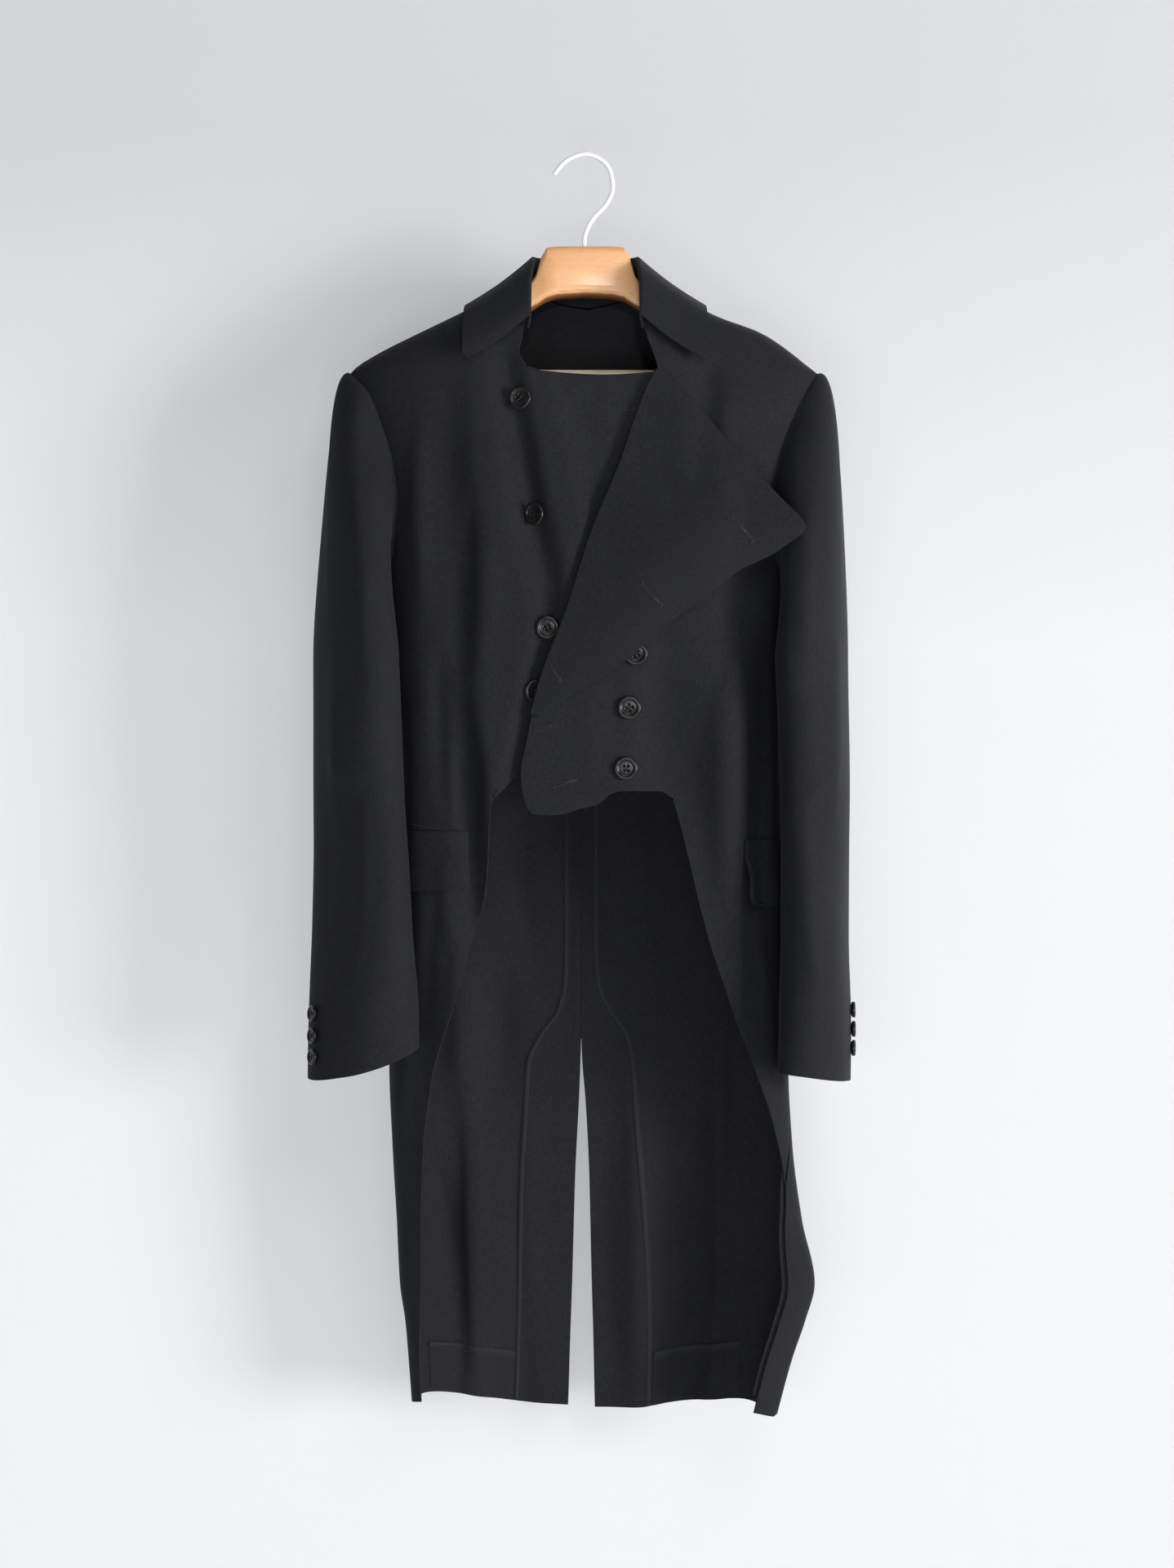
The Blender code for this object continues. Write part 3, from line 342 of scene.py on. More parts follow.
def front_grid(side):
    """Rows down a front panel with the places that it covers; the free part is last."""
    rows = []
    no_free = np.full(FREE, np.nan)
    top = TOP_STRETCH[1]
    start = outer_turn(side, top, FRONT_ARMHOLE)
    share = (turn_at(MIDDLE[0][2], top) - start) / (turn_at(NECK[-1][2], top) - start)
    for z in stretch(TOP_STRETCH):
        start = outer_turn(side, z, FRONT_ARMHOLE)
        end = turn_at(read(NECK, EDGE_COLUMNS, side, z), z)
        if side == "right":
            turns = np.concatenate([spread(start, end, PANEL), no_free])
        else:
            middle = mix(start, end, share)
            turns = np.concatenate([spread(start, middle, PANEL), spread(middle, end, FREE)[1:]])
        rows.append((turns, np.full(turns.shape, z)))
    lowest = CHEST_STRETCH[1]
    for z in stretch(CHEST_STRETCH):
        start = outer_turn(side, z, FRONT_ARMHOLE)
        middle = turn_at(read(MIDDLE, EDGE_COLUMNS, side, z), z)
        end = turn_at(read(FREE_EDGE, EDGE_COLUMNS, side, z), z)
        panel, free = spread(start, middle, PANEL), spread(middle, end, FREE)[1:]
        share = ease((z + 485) / (lowest + 485)) if z < -485 else 0.0
        place = body_point(free, z, "front")[..., 0]
        drop = z - lowest + read(FRONT_HEM[side], HEM_COLUMNS, "z", place)
        levels = mix(np.full(free.shape, z), drop, share)
        if side == "right":
            sag = 2.4 + 4.4 * np.exp(-((place - 16) / 50) ** 2)
            sag = sag * ease((place + 52) / 12) * ease((z + 260) / 56)
            levels = levels - sag
        rows.append((np.concatenate([panel, free]),
                     np.concatenate([np.full(panel.shape, z), levels])))
    for z, share in hem_levels():
        start = outer_turn(side, z, FRONT_ARMHOLE)
        end = turn_at(read(CUTAWAY, EDGE_COLUMNS, side, z), z)
        turns = spread(start, end, PANEL)
        levels = z + share * hem_drop(side, body_point(turns, z, "front")[..., 0], HEM_LEVEL)
        rows.append((np.concatenate([turns, no_free]), np.concatenate([levels, no_free])))
    return np.array([row[0] for row in rows]), np.array([row[1] for row in rows])


def back_grid(side):
    """Rows down a back panel, from its outer edge to the centre seam."""
    rows = []
    levels = [(z, 0.0) for z in [*stretch((-114, -135.8)), *stretch((-137, -203.2)),
                                 *stretch(CHEST_STRETCH)]] + hem_levels()
    for z, share in levels:
        start = outer_turn(side, z, BACK_ARMHOLE)
        inside = SEAM if side == "left" else -SEAM
        edge = read(CENTRE, EDGE_COLUMNS, side, z) + inside
        if z > -136:
            edge = read(BACK_NECK, EDGE_COLUMNS, side, z)
        turns = spread(start, turn_at(edge, z), PANEL)
        drop = hem_drop(side, body_point(turns, z, "back")[..., 0], HEM_LEVEL)
        rows.append((turns, z + share * drop))
    return np.array([row[0] for row in rows]), np.array([row[1] for row in rows])


def armhole_point(side, turn):
    """The armhole seam, with turn 0 at the shoulder, 90 in front and 180 at the underarm."""
    z = mix(-203.6, -420.6, (1 - np.cos(turn)) / 2)
    out = -1 if side == "right" else 1
    ends = []
    for table, half in ((FRONT_ARMHOLE, "front"), (BACK_ARMHOLE, "back")):
        edge = read(table, EDGE_COLUMNS, side, z)
        ends.append(body_point(turn_at(edge, z), z, half))
    point = np.where((np.sin(turn) > 0)[..., None], ends[0], ends[1])
    return point + stack(out * ARMHOLE_CLEAR[side], 0, 0.6 * np.cos(turn))


def sleeve_point(side, turn, down):
    """Down is 0 at the armhole seam, 1 at the underarm level and 2 at the cuff."""
    table = SLEEVE[side]
    out = -1 if side == "right" else 1
    level = mix(table[0][0], table[-1][0], np.maximum(0.0, down - 1))
    x, y, long, short, lean = (read(table, SLEEVE_COLUMNS, name, level)
                               for name in SLEEVE_COLUMNS[1:])
    lean = np.radians(lean)
    cosine, sine = np.cos(turn), np.sin(turn)
    ahead = np.sign(sine) * np.abs(sine) ** 0.9 * long
    across = np.sign(cosine) * np.abs(cosine) ** 0.9 * short
    tail = CUFF_RISE[side] * 0.5 * (cosine - sine) * ease((down - 1.7) / 0.3)
    sway = 2.5 * np.sin(9 * down + 2 * turn) * ease((down - 1) * 4)
    lower = stack(x - out * np.sin(lean) * ahead + out * np.cos(lean) * across,
                  y - np.cos(lean) * ahead - np.sin(lean) * across, level)
    start = armhole_point(side, turn)
    head = stack(out * SLEEVE_HEAD_REACH * (0.25 + 0.75 * np.maximum(0.0, cosine)), -14 * sine,
                 10 * np.minimum(0.0, cosine) + SLEEVE_HEAD_RISE * np.maximum(0.0, cosine))
    zero = np.zeros(np.shape(down))
    rising = stack(zero, zero, 0.42 * (start[..., 2] - lower[..., 2]))
    t = np.clip(down, 0, 1)[..., None]
    upper = (start * (1 - t)**3 + (start + head) * 3 * t * (1 - t)**2
             + (lower + rising) * 3 * t**2 * (1 - t) + lower * t**3)
    tuck = np.clip(-down / SEAM_TURN_IN, 0, 1)
    upper = upper + stack(-out * 9 * tuck, 3.2 * sine * tuck, -3.5 * cosine * tuck)
    hanging = lower + stack(zero, sway, -tail)
    return np.where((down > 1)[..., None], hanging, upper)


def turned_back(across, down):
    """The overlap turned back over the left front, from its fold line outwards."""
    top, bottom = np.array(FOLD_TOP), np.array(FOLD_BOTTOM)
    along = unit(bottom - top)
    sideways = np.array((-along[1], along[0])) * (1 if along[1] < 0 else -1)
    width = read(TURN, TURN_COLUMNS, "width", down)
    level = top[1] + along[1] * down
    start = read(FREE_EDGE, EDGE_COLUMNS, "left", level)
    x = start + sideways[0] * width * np.maximum(across, 0)
    z = level + sideways[1] * width * np.maximum(across, 0)
    rest = left_front(turn_at(start, level), level)[..., 1]
    under = left_front(turn_at(np.minimum(x, 150), z), z)[..., 1]
    shelf = mix(rest, np.maximum(rest, under), 0.5)
    lift = mix(read(TURN, TURN_COLUMNS, "lift_fold", down),
               read(TURN, TURN_COLUMNS, "lift_edge", down), ease(across))
    bulge = read(TURN, TURN_COLUMNS, "bulge", down) * np.sin(np.pi * np.clip(across, 0, 1))
    face = shelf - lift - bulge
    roll = np.pi * np.clip(-across / FOLD_ROLL, 0, 1)
    radius = (rest - face) / 2
    return stack(x - radius * np.sin(roll), face + radius * (1 - np.cos(roll)), z)


def collar_point(along, across):
    """Along runs from the right front end round the back; across from seam to leaf edge."""
    last = len(COLLAR) - 1
    side = np.where(along < last, -1, 1)
    station = np.where(along < last, along, 2 * last - along)
    steps = list(range(last + 1))
    seam, fold, edge = (
        stack(*(smooth(steps, [row[COLLAR_COLUMNS.index(f"{part}_{axis}")] for row in COLLAR],
                       station) * (side if axis == "x" else 1) for axis in "xyz"))
        for part in ("seam", "fold", "edge"))
    out = edge - fold
    out[..., 2] = 0
    out = unit(out)
    across = across[..., None]
    stand = mix(seam - np.array((0, 0, STAND_DROP)), fold, np.clip(across, 0, 1))
    crest = fold + np.array((0, 0, 0.8)) + out * 2
    t = across - 1
    share = np.clip((t - 0.12) / 0.88, 0, 1)
    swell = (out + np.array((0, 0, 1))) * -1.5 * np.sin(np.pi * share)
    leaf = np.where(t < 0.12, mix(fold, crest, t / 0.12), mix(crest, edge, share) + swell)
    forward = LEAF_STANDS_OFF * ease((3.6 - station) / 2.4)[..., None] * np.clip(t, 0, 1) ** 1.5
    leaf = leaf - forward * np.array((0, 1, 0))
    return np.where(across <= 1, stand, leaf)


CREASE_COLUMNS = ("x_top", "z_top", "x_bottom", "z_bottom", "bend", "width", "depth")
CREASES = {
    "front_right": [
        (-104, -320, -110, -490, 2, 11, 4.2), (-114, -500, -103, -650, -3, 10, 5.0),
        (-150, -250, -146, -430, 4, 10, -3.0), (-84, -250, -92, -470, -4, 13, -3.4),
        (-134, -460, -128, -620, 2, 8, 3.0), (-158, -520, -157, -700, 2, 10, -3.0),
        (24, -216, 8, -300, 2, 9, -1.2), (-66, -470, -58, -560, 2, 9, 1.2),
        (-140, -690, -147, -900, 4, 10, 3.4), (-118, -730, -134, -930, -2, 9, -2.6),
        (-160, -760, -164, -1010, -3, 8, 2.2), (-128, -655, -120, -740, 2, 8, -2.0),
    ],
    "front_right_rear": [(-176, -500, -172, -690, 3, 9, 2.2)],
    "front_left": [
        (147, -360, 137, -470, 3, 9, 3.4), (72, -420, 70, -670, -2, 25, 11.0),
        (131, -430, 134, -700, 3, 20, -13.0), (162, -430, 160, -640, -3, 9, 3.0),
        (172, -520, 171, -700, 2, 8, -2.2), (24, -470, 34, -560, 2, 12, 2.2),
        (-4, -500, 4, -590, -2, 10, -1.8), (60, -480, 56, -590, 2, 12, 2.0),
        (124, -690, 158, -900, 5, 11, 3.4), (154, -700, 184, -950, -4, 10, -3.4),
        (172, -820, 198, -1010, 3, 8, 2.4), (132, -226, 126, -330, 3, 9, -2.2),
    ],
    "front_left_rear": [(176, -510, 174, -700, 3, 9, 2.2)],
    "back_rear": [
        (-30, -290, -40, -560, 5, 14, 2.6), (34, -270, 44, -540, -4, 13, 2.4),
        (-98, -400, -88, -690, 4, 12, 2.8), (100, -380, 92, -660, -5, 12, -2.6),
        (-150, -440, -146, -700, 3, 10, 2.2), (152, -430, 150, -680, -2, 10, 2.4),
        (-66, -640, -40, -800, 3, 10, -2.4), (62, -620, 50, -790, 3, 11, 2.2),
        (-118, -850, -114, -1140, 3, 15, -8.0), (-77, -850, -72, -1158, 5, 21, 8.0),
        (-146, -930, -134, -1060, -4, 9, -3.0), (-52, -880, -46, -1120, 4, 10, 1.8),
        (-106, -900, -100, -1010, 3, 6, 2.0), (138, -840, 140, -1080, -3, 12, -3.5),
        (52, -890, 56, -1158, 4, 20, 7.5), (110, -880, 113, -1158, 3, 20, -9.0),
        (36, -900, 40, -1100, -2, 8, -1.8), (-8, -136, -46, -214, 4, 6, -3.6),
        (-22, -134, -52, -170, 2, 5, 2.6), (12, -138, 44, -196, -3, 6, -3.2),
        (30, -134, 56, -160, 2, 5, 2.4), (-30, -160, -22, -220, 2, 7, 2.6),
    ],
    "back": [(-168, -460, -166, -700, 2, 9, 2.0), (172, -900, 184, -1090, 3, 10, 2.6)],
    "turned": [
        (96, -236, 116, -330, 4, 16, -1.2), (62, -286, 88, -362, -3, 15, 1.2),
        (18, -372, 40, -430, 2, 13, 1.0), (126, -262, 138, -320, 2, 9, 1.0),
    ],
    "sleeve_right": [
        (-214, -300, -206, -500, 5, 9, 3.2), (-232, -430, -228, -620, -4, 8, 2.8),
        (-202, -560, -214, -742, 3, 7, 2.4), (-238, -600, -200, -578, 2, 5, 2.0),
        (-234, -672, -204, -655, -2, 5, 1.6), (-198, -236, -206, -330, 3, 6, 2.2),
        (-222, -250, -226, -360, -2, 7, -1.8), (-222, -640, -220, -800, 3, 7, -2.2),
        (-190, -430, -188, -560, 2, 6, 2.0),
    ],
    "sleeve_right_rear": [
        (-210, -300, -200, -470, -4, 9, 2.8), (-228, -450, -222, -640, 3, 8, 2.4),
        (-200, -600, -208, -760, -3, 8, 2.4), (-232, -560, -198, -590, 2, 6, 2.2),
        (-228, -660, -200, -640, -2, 5, 1.6),
    ],
    "sleeve_left": [
        (216, -300, 205, -480, 4, 9, 3.0), (233, -420, 227, -600, -3, 8, 2.8),
        (205, -560, 216, -760, -3, 7, 2.2), (229, -660, 222, -800, 3, 7, -2.2),
        (195, -590, 236, -562, 2, 5, 2.2), (198, -645, 232, -622, -2, 5, 1.8),
        (197, -240, 206, -330, -3, 6, 2.2), (223, -250, 226, -350, 2, 7, -1.6),
        (191, -440, 189, -600, 2, 6, 2.0),
    ],
    "sleeve_left_rear": [
        (208, -310, 200, -480, 4, 9, 2.8), (228, -440, 224, -620, -3, 8, 2.6),
        (198, -600, 210, -780, 3, 8, 2.2), (230, -575, 198, -600, 2, 6, 2.2),
        (226, -690, 200, -672, -2, 5, 1.6),
    ],
}


def crease_depth(table, x, z):
    """How far soft troughs (plus) and ridges (minus) move the cloth inwards."""
    total = np.zeros(np.shape(x))
    for row in table:
        crease = dict(zip(CREASE_COLUMNS, row))
        start = np.array((crease["x_top"], crease["z_top"]))
        line = np.array((crease["x_bottom"], crease["z_bottom"])) - start
        length = np.linalg.norm(line)
        along = ((x - start[0]) * line[0] + (z - start[1]) * line[1]) / length**2
        aside = ((x - start[0]) * line[1] - (z - start[1]) * line[0]) / length
        inside = np.clip(along, 0, 1)
        aside = aside - crease["bend"] * 4 * inside * (1 - inside)
        swell = np.clip(np.sin(np.pi * np.clip(mix(0.02, 0.98, along), 0, 1)), 0, 1) ** 0.7
        width = crease["width"] * (0.55 + 0.45 * swell)
        total += crease["depth"] * swell * np.exp(-(aside / width) ** 2)
    return total


def shaped(surface, creases, facing, steps):
    """A surface with creases pressed into it along its own normals."""
    def at(a, b):
        points = surface(a, b)
        da, db = steps
        along = surface(a + da, b) - surface(a - da, b)
        down = surface(a, b + db) - surface(a, b - db)
        normal = unit(np.cross(along, down)) * facing
        towards = np.clip(-normal[..., 1:2] * 1.6, 0, 1)
        away = np.clip(normal[..., 1:2] * 1.6, 0, 1)
        x, z = points[..., 0], points[..., 2]
        ahead = crease_depth(CREASES.get(creases, []), x, z)[..., None]
        behind = crease_depth(CREASES.get(creases + "_rear", []), x, z)[..., None]
        return points - normal * (ahead * towards + behind * away)
    return at


class Value:
    """A shader value, worked with in ordinary expressions."""

    def __init__(self, tree, socket):
        self.tree, self.socket = tree, socket

    def joined(self, operation, *items):
        node = self.tree.nodes.new("ShaderNodeMath")
        node.operation = operation
        for item, socket in zip(items, node.inputs):
            plug(self.tree, item, socket)
        return Value(self.tree, node.outputs[0])

    def __add__(self, other):
        return self.joined("ADD", self, other)

    def __sub__(self, other):
        return self.joined("SUBTRACT", self, other)

    def __rsub__(self, other):
        return self.joined("SUBTRACT", other, self)

    def __mul__(self, other):
        return self.joined("MULTIPLY", self, other)

    def __truediv__(self, other):
        return self.joined("DIVIDE", self, other)

    def __pow__(self, other):
        return self.joined("POWER", self, other)

    __radd__ = __add__
    __rmul__ = __mul__


def plug(tree, item, socket):
    if isinstance(item, Value):
        tree.links.new(item.socket, socket)
    else:
        if socket.type == "RGBA" and len(item) == 3:
            item = (*item, 1)
        socket.default_value = item


class Finish:
    """A material whose nodes are given by type, settings and sockets."""

    def __init__(self, name):
        self.material = bpy.data.materials.new(name)
        self.material.use_nodes = True
        self.tree = self.material.node_tree
        self.shader = self.tree.nodes["Principled BSDF"]
        self.coords = self.node("ShaderNodeTexCoord", out="Object")

    def node(self, kind, settings=None, sockets=None, out=0):
        node = self.tree.nodes.new(kind)
        for key, value in (settings or {}).items():
            if key == "stops":
                ramp = node.color_ramp.elements
                while len(ramp) < len(value):
                    ramp.new(1.0)
                for stop, (place, level) in zip(ramp, value):
                    stop.position = place
                    stop.color = (*level, 1) if isinstance(level, tuple) else (level,) * 3 + (1,)
            else:
                setattr(node, key, value)
        for key, value in (sockets or {}).items():
            plug(self.tree, value, node.inputs[key])
        return Value(self.tree, node.outputs[out])

    def set(self, **sockets):
        for key, value in sockets.items():
            plug(self.tree, value, self.shader.inputs[key.replace("_", " ")])

    def noise(self, scale, detail=3.0, vector=None, rough=0.55, stretch_by=None):
        vector = vector or self.coords
        if stretch_by:
            vector = self.node("ShaderNodeMapping",
                               sockets={"Vector": vector, "Scale": stretch_by})
        return self.node("ShaderNodeTexNoise", sockets={
            "Vector": vector, "Scale": scale, "Detail": detail, "Roughness": rough})

    def ramp(self, value, *stops):
        return self.node("ShaderNodeValToRGB", {"stops": stops}, {"Fac": value})

    def blend(self, share, low, high):
        node = self.tree.nodes.new("ShaderNodeMix")
        node.data_type = "RGBA"
        colours = [socket for socket in node.inputs if socket.type == "RGBA"]
        plug(self.tree, share, node.inputs["Factor"])
        plug(self.tree, low, colours[0])
        plug(self.tree, high, colours[1])
        return Value(self.tree, next(o for o in node.outputs if o.type == "RGBA"))

    def bump(self, height, strength, distance, under=None):
        sockets = {"Height": height, "Strength": strength, "Distance": distance}
        if under:
            sockets["Normal"] = under
        return self.node("ShaderNodeBump", sockets=sockets)


WOOL_DARK = (0.0058, 0.0061, 0.0069)
WOOL_LIGHT = (0.0204, 0.0214, 0.0244)


def wool(name, dark=WOOL_DARK, light=WOOL_LIGHT):
    """A fine worsted: crossed threads, a soft nap and a little heather."""
    cloth = Finish(name)
    threads = cloth.node("ShaderNodeUVMap")
    split = cloth.tree.nodes.new("ShaderNodeSeparateXYZ")
    plug(cloth.tree, threads, split.inputs[0])
    u, v = (Value(cloth.tree, split.outputs[k]) for k in (0, 1))
    ribs = [cloth.node("ShaderNodeMath", {"operation": "SINE"}, {0: (u + v * way) * 5200})
            for way in (1.0, -0.35)]
    weave = (ribs[0] * 0.6 + ribs[1] * 0.4) * 0.5 + 0.5
    warp = cloth.noise(620, 2, threads, stretch_by=(1.0, 0.25, 1.0))
    weft = cloth.noise(620, 2, threads, stretch_by=(0.25, 1.0, 1.0))
    fleck = cloth.noise(1500, 3, threads, rough=0.7)
    haze = cloth.noise(7, 3)
    patch = cloth.noise(34, 3)
    fibre = cloth.noise(3400, 2, threads)
    shade = (weave * 0.16 + warp * 0.85 + weft * 0.7 + fleck * 1.0 + haze * 0.3 + patch * 0.2
             - 1.12)
    cloth.set(Base_Color=cloth.blend(shade, dark, light))
    cloth.set(Roughness=0.80 + haze * 0.14, Specular_IOR_Level=0.16, Sheen_Weight=0.035,
              Sheen_Roughness=0.35, Sheen_Tint=(0.80, 0.84, 0.92, 1))
    soft = cloth.bump(patch, 0.25, 0.0010)
    cloth.set(Normal=cloth.bump(weave * 0.6 + fibre * 0.4, 0.5, 0.00012, soft))
    return cloth.material


def binding(name):
    """A narrow bias tape: slanting fine ribs with a slight lustre."""
    tape = Finish(name)
    threads = tape.node("ShaderNodeUVMap")
    split = tape.tree.nodes.new("ShaderNodeSeparateXYZ")
    plug(tape.tree, threads, split.inputs[0])
    u, v = (Value(tape.tree, split.outputs[k]) for k in (0, 1))
    ribs = tape.node("ShaderNodeMath", {"operation": "SINE"}, {0: (u + v) * 3600}) * 0.5 + 0.5
    haze = tape.noise(40, 3)
    tape.set(Base_Color=tape.blend(ribs * 0.5 + haze * 0.5, (0.0088, 0.0092, 0.0104),
                                   (0.0230, 0.0238, 0.0266)),
             Roughness=0.72 + haze * 0.2, Specular_IOR_Level=0.2)
    tape.set(Normal=tape.bump(ribs, 0.4, 0.0001))
    return tape.material


def thread(name, level=0.02):
    yarn = Finish(name)
    twist = yarn.node("ShaderNodeTexWave", {"bands_direction": "DIAGONAL"},
                      {"Scale": 900.0, "Distortion": 1.0, "Vector": yarn.coords}, out="Fac")
    yarn.set(Base_Color=yarn.blend(twist, (level * 0.6,) * 3, (level * 1.6,) * 3),
             Roughness=0.45 + twist * 0.2)
    yarn.set(Normal=yarn.bump(twist, 0.5, 0.0001))
    return yarn.material


def horn(name):
    """Dark polished horn with turning marks and cloudy brown streaks."""
    made = Finish(name)
    cloud = made.noise(180, 4, rough=0.6, stretch_by=(1.0, 1.0, 2.4))
    streak = made.noise(420, 3, stretch_by=(0.4, 0.4, 3.0))
    shade = made.ramp(cloud * 0.8 + streak * 0.2, (0.35, (0.006, 0.006, 0.0065)),
                      (0.62, (0.016, 0.015, 0.0145)), (0.80, (0.036, 0.032, 0.029)))
    made.set(Base_Color=shade, Roughness=0.20 + cloud * 0.08, Coat_Weight=0.0,
             Specular_IOR_Level=0.30)
    made.set(Normal=made.bump(made.noise(700, 2), 0.05, 0.00003))
    return made.material


def beech(name, light=(0.80, 0.44, 0.205), dark=(0.64, 0.31, 0.125)):
    """Waxed beech: long grain along X, short darker flecks and a satin coat."""
    wood = Finish(name)
    rings = wood.noise(22, 4, stretch_by=(0.5, 3.0, 9.0))
    grain = wood.noise(160, 4, stretch_by=(0.25, 2.0, 6.0))
    fleck = wood.ramp(wood.noise(520, 2, stretch_by=(0.22, 1.6, 3.2)), (0.56, 0.0), (0.70, 1.0))
    base = wood.blend(rings * 0.65 + grain * 0.35, light, dark)
    tone = wood.blend(fleck * 0.45, base, (0.40, 0.19, 0.09))
    wood.set(Base_Color=tone, Roughness=0.34 + grain * 0.22, Coat_Weight=0.25,
             Coat_Roughness=0.2)
    wood.set(Normal=wood.bump(grain * 0.7 + fleck * 0.3, 0.25, 0.0003))
    return wood.material


def coated_wire(name):
    wire = Finish(name)
    wear = wire.noise(160, 4, rough=0.65)
    wire.set(Base_Color=wire.blend(wear, (0.80, 0.80, 0.79), (0.90, 0.90, 0.90)),
             Roughness=0.22 + wear * 0.2, Coat_Weight=0.3)
    wire.set(Normal=wire.bump(wear, 0.1, 0.0002))
    return wire.material


PAINTS = {
    "wool": wool("worsted"),
    "inside": wool("worsted_inside", (0.0062, 0.0065, 0.0073), (0.0200, 0.0208, 0.0232)),
    "binding": binding("bias_tape"),
    "thread": thread("black_thread"),
    "gimp": thread("buttonhole_thread", 0.017),
    "topstitch": thread("topstitch_thread", 0.034),
    "horn": horn("horn"),
    "beech": beech("beech"),
    # A darker copy of the beech for the block's underside: painted shade.
    "beech_underside_painted_shade": beech("beech_underside_painted_shade", (0.42, 0.17, 0.055), (0.30, 0.10, 0.030)),
    "pale_wood": beech("pale_wood", (0.84, 0.72, 0.54), (0.72, 0.57, 0.38)),
    "plug": beech("plug_wood", (0.42, 0.20, 0.09), (0.27, 0.11, 0.05)),
    "wire": coated_wire("white_wire"),
    # Near-black finish for the buttonhole slits: painted shadow.
    "shadow": thread("slit_painted_shadow", 0.003),
}


def publish(name, bm, paints, nodes=()):
    mesh = bpy.data.meshes.new(name)
    bm.to_mesh(mesh)
    bm.free()
    mesh.shade_smooth()
    for paint in paints:
        mesh.materials.append(PAINTS[paint])
    made = bpy.data.objects.new(name, mesh)
    bpy.context.scene.collection.objects.link(made)
    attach(made, "root")
    if nodes:
        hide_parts(*nodes)
    return made


def distances(points, axis):
    steps = np.linalg.norm(np.diff(points, axis=axis), axis=2)
    sums = np.cumsum(np.nan_to_num(steps), axis=axis)
    return np.insert(sums, 0, 0.0, axis=axis)


def sheet_piece(name, points, outward, nodes=(), paints=("wool", "inside"),
                thickness=CLOTH, offset=-1.0,
                with_pieces=(), declared=True):
    """A thin cloth wall over a grid of points; a point that is not a number is left out."""
    rows, columns = points.shape[:2]
    u, v = distances(points, 1) * MM, distances(points, 0) * MM
    bm = bmesh.new()
    bmesh.ops.create_grid(bm, x_segments=columns - 1, y_segments=rows - 1, size=0.5)
    layer = bm.loops.layers.uv.new("threads")
    missing = []
    for vert in bm.verts:
        j = round((vert.co.x + 0.5) * (columns - 1))
        i = round((0.5 - vert.co.y) * (rows - 1))
        place = (float(u[i, j]), -float(v[i, j]))
        for loop in vert.link_loops:
            loop[layer].uv = place
        if np.isnan(points[i, j, 0]):
            missing.append(vert)
        else:
            vert.co = Vector(points[i, j]) * MM
    bmesh.ops.delete(bm, geom=missing, context="VERTS")
    bmesh.ops.recalc_face_normals(bm, faces=bm.faces)
    lean = sum((face.normal * face.calc_area() for face in bm.faces), Vector())
    if lean.dot(Vector(outward)) < 0:
        bmesh.ops.reverse_faces(bm, faces=bm.faces)
    area = sum(face.calc_area() for face in bm.faces)
    made = publish(name, bm, paints, nodes)
    wall = made.modifiers.new("wall", "SOLIDIFY")
    wall.thickness = thickness * MM
    wall.offset = offset
    wall.use_quality_normals = True
    wall.material_offset = len(paints) - 1
    edge = made.modifiers.new("edge", "BEVEL")
    edge.width = 0.28 * thickness * MM
    edge.segments = 2
    edge.limit_method = "ANGLE"
    edge.angle_limit = math.radians(50)
    edge.harden_normals = True
    if not declared:
        return made
    wide, high = float(np.nanmax(u)), float(np.nanmax(v))
    max(high, area / wide * 1.001)
    list(with_pieces)
    return made


def seam_allowance(name, form, middle, half, levels, outward, flip):
    """A pressed-open seam's turnings, lying on the inside of the cloth along a seam."""
    z = levels[:, None]
    turn = middle[:, None] + spread(-half, half, 8)[None, :]
    z = np.broadcast_to(z, turn.shape)
    along = form(turn + 0.02, z) - form(turn - 0.02, z)
    down = form(turn, z + 0.6) - form(turn, z - 0.6)
    ridge = 0.9 * ease((np.abs(spread(-1, 1, 8)) - 0.1) / 0.3)[None, :, None]
    points = form(turn, z) - unit(np.cross(along, down)) * flip * (CLOTH + 0.12 + ridge)
    return sheet_piece(name, points, outward, paints=("inside",),
                       thickness=0.5, declared=False)


def panels():
    """The two fronts and two backs, with their creases."""
    made = {}
    centre = stretch((-136.5, -826))
    turnings = {"right": [], "left": [seam_allowance(
        "centre_turnings", shaped(whole_back, "back", -1, (0.02, 0.6)),
        turn_at(read(CENTRE, EDGE_COLUMNS, "left", centre), centre), 0.022, centre,
        (0, -1, 0), -1)]}
    for side in ("right", "left"):
        surface = whole_front(right_front if side == "right" else left_front)
        form = shaped(surface, f"front_{side}", 1, (0.02, 0.6))
        base = 0.0 if side == "right" else math.pi
        for part, span in (("shoulder", (-130, -203)), ("side", (-422, -1150))):
            levels = stretch(span)
            shift = np.radians(read(SIDE_SEAM_TURN, EDGE_COLUMNS, side, levels))
            turnings[side].append(seam_allowance(
                f"{part}_turnings_{side}", form, base + shift, 0.05, levels,
                (1 if side == "right" else -1, 0, 0), 1))
        turns, levels = front_grid(side)
        missing = np.isnan(turns)
        points = form(np.nan_to_num(turns, nan=1.0), np.nan_to_num(levels, nan=-300.0))
        points[missing] = np.nan
        made[f"front_{side}"] = sheet_piece(f"front_{side}_cloth", points, (0, -1, 0),
                                            [f"front_{side}"])
        form = shaped(whole_back, "back", -1, (0.02, 0.6))
        points = form(*back_grid(side))
        made[f"back_{side}"] = sheet_piece(f"back_{side}_cloth", points, (0, 1, 0),
                                           [f"back_{side}"], with_pieces=turnings[side])
    return made


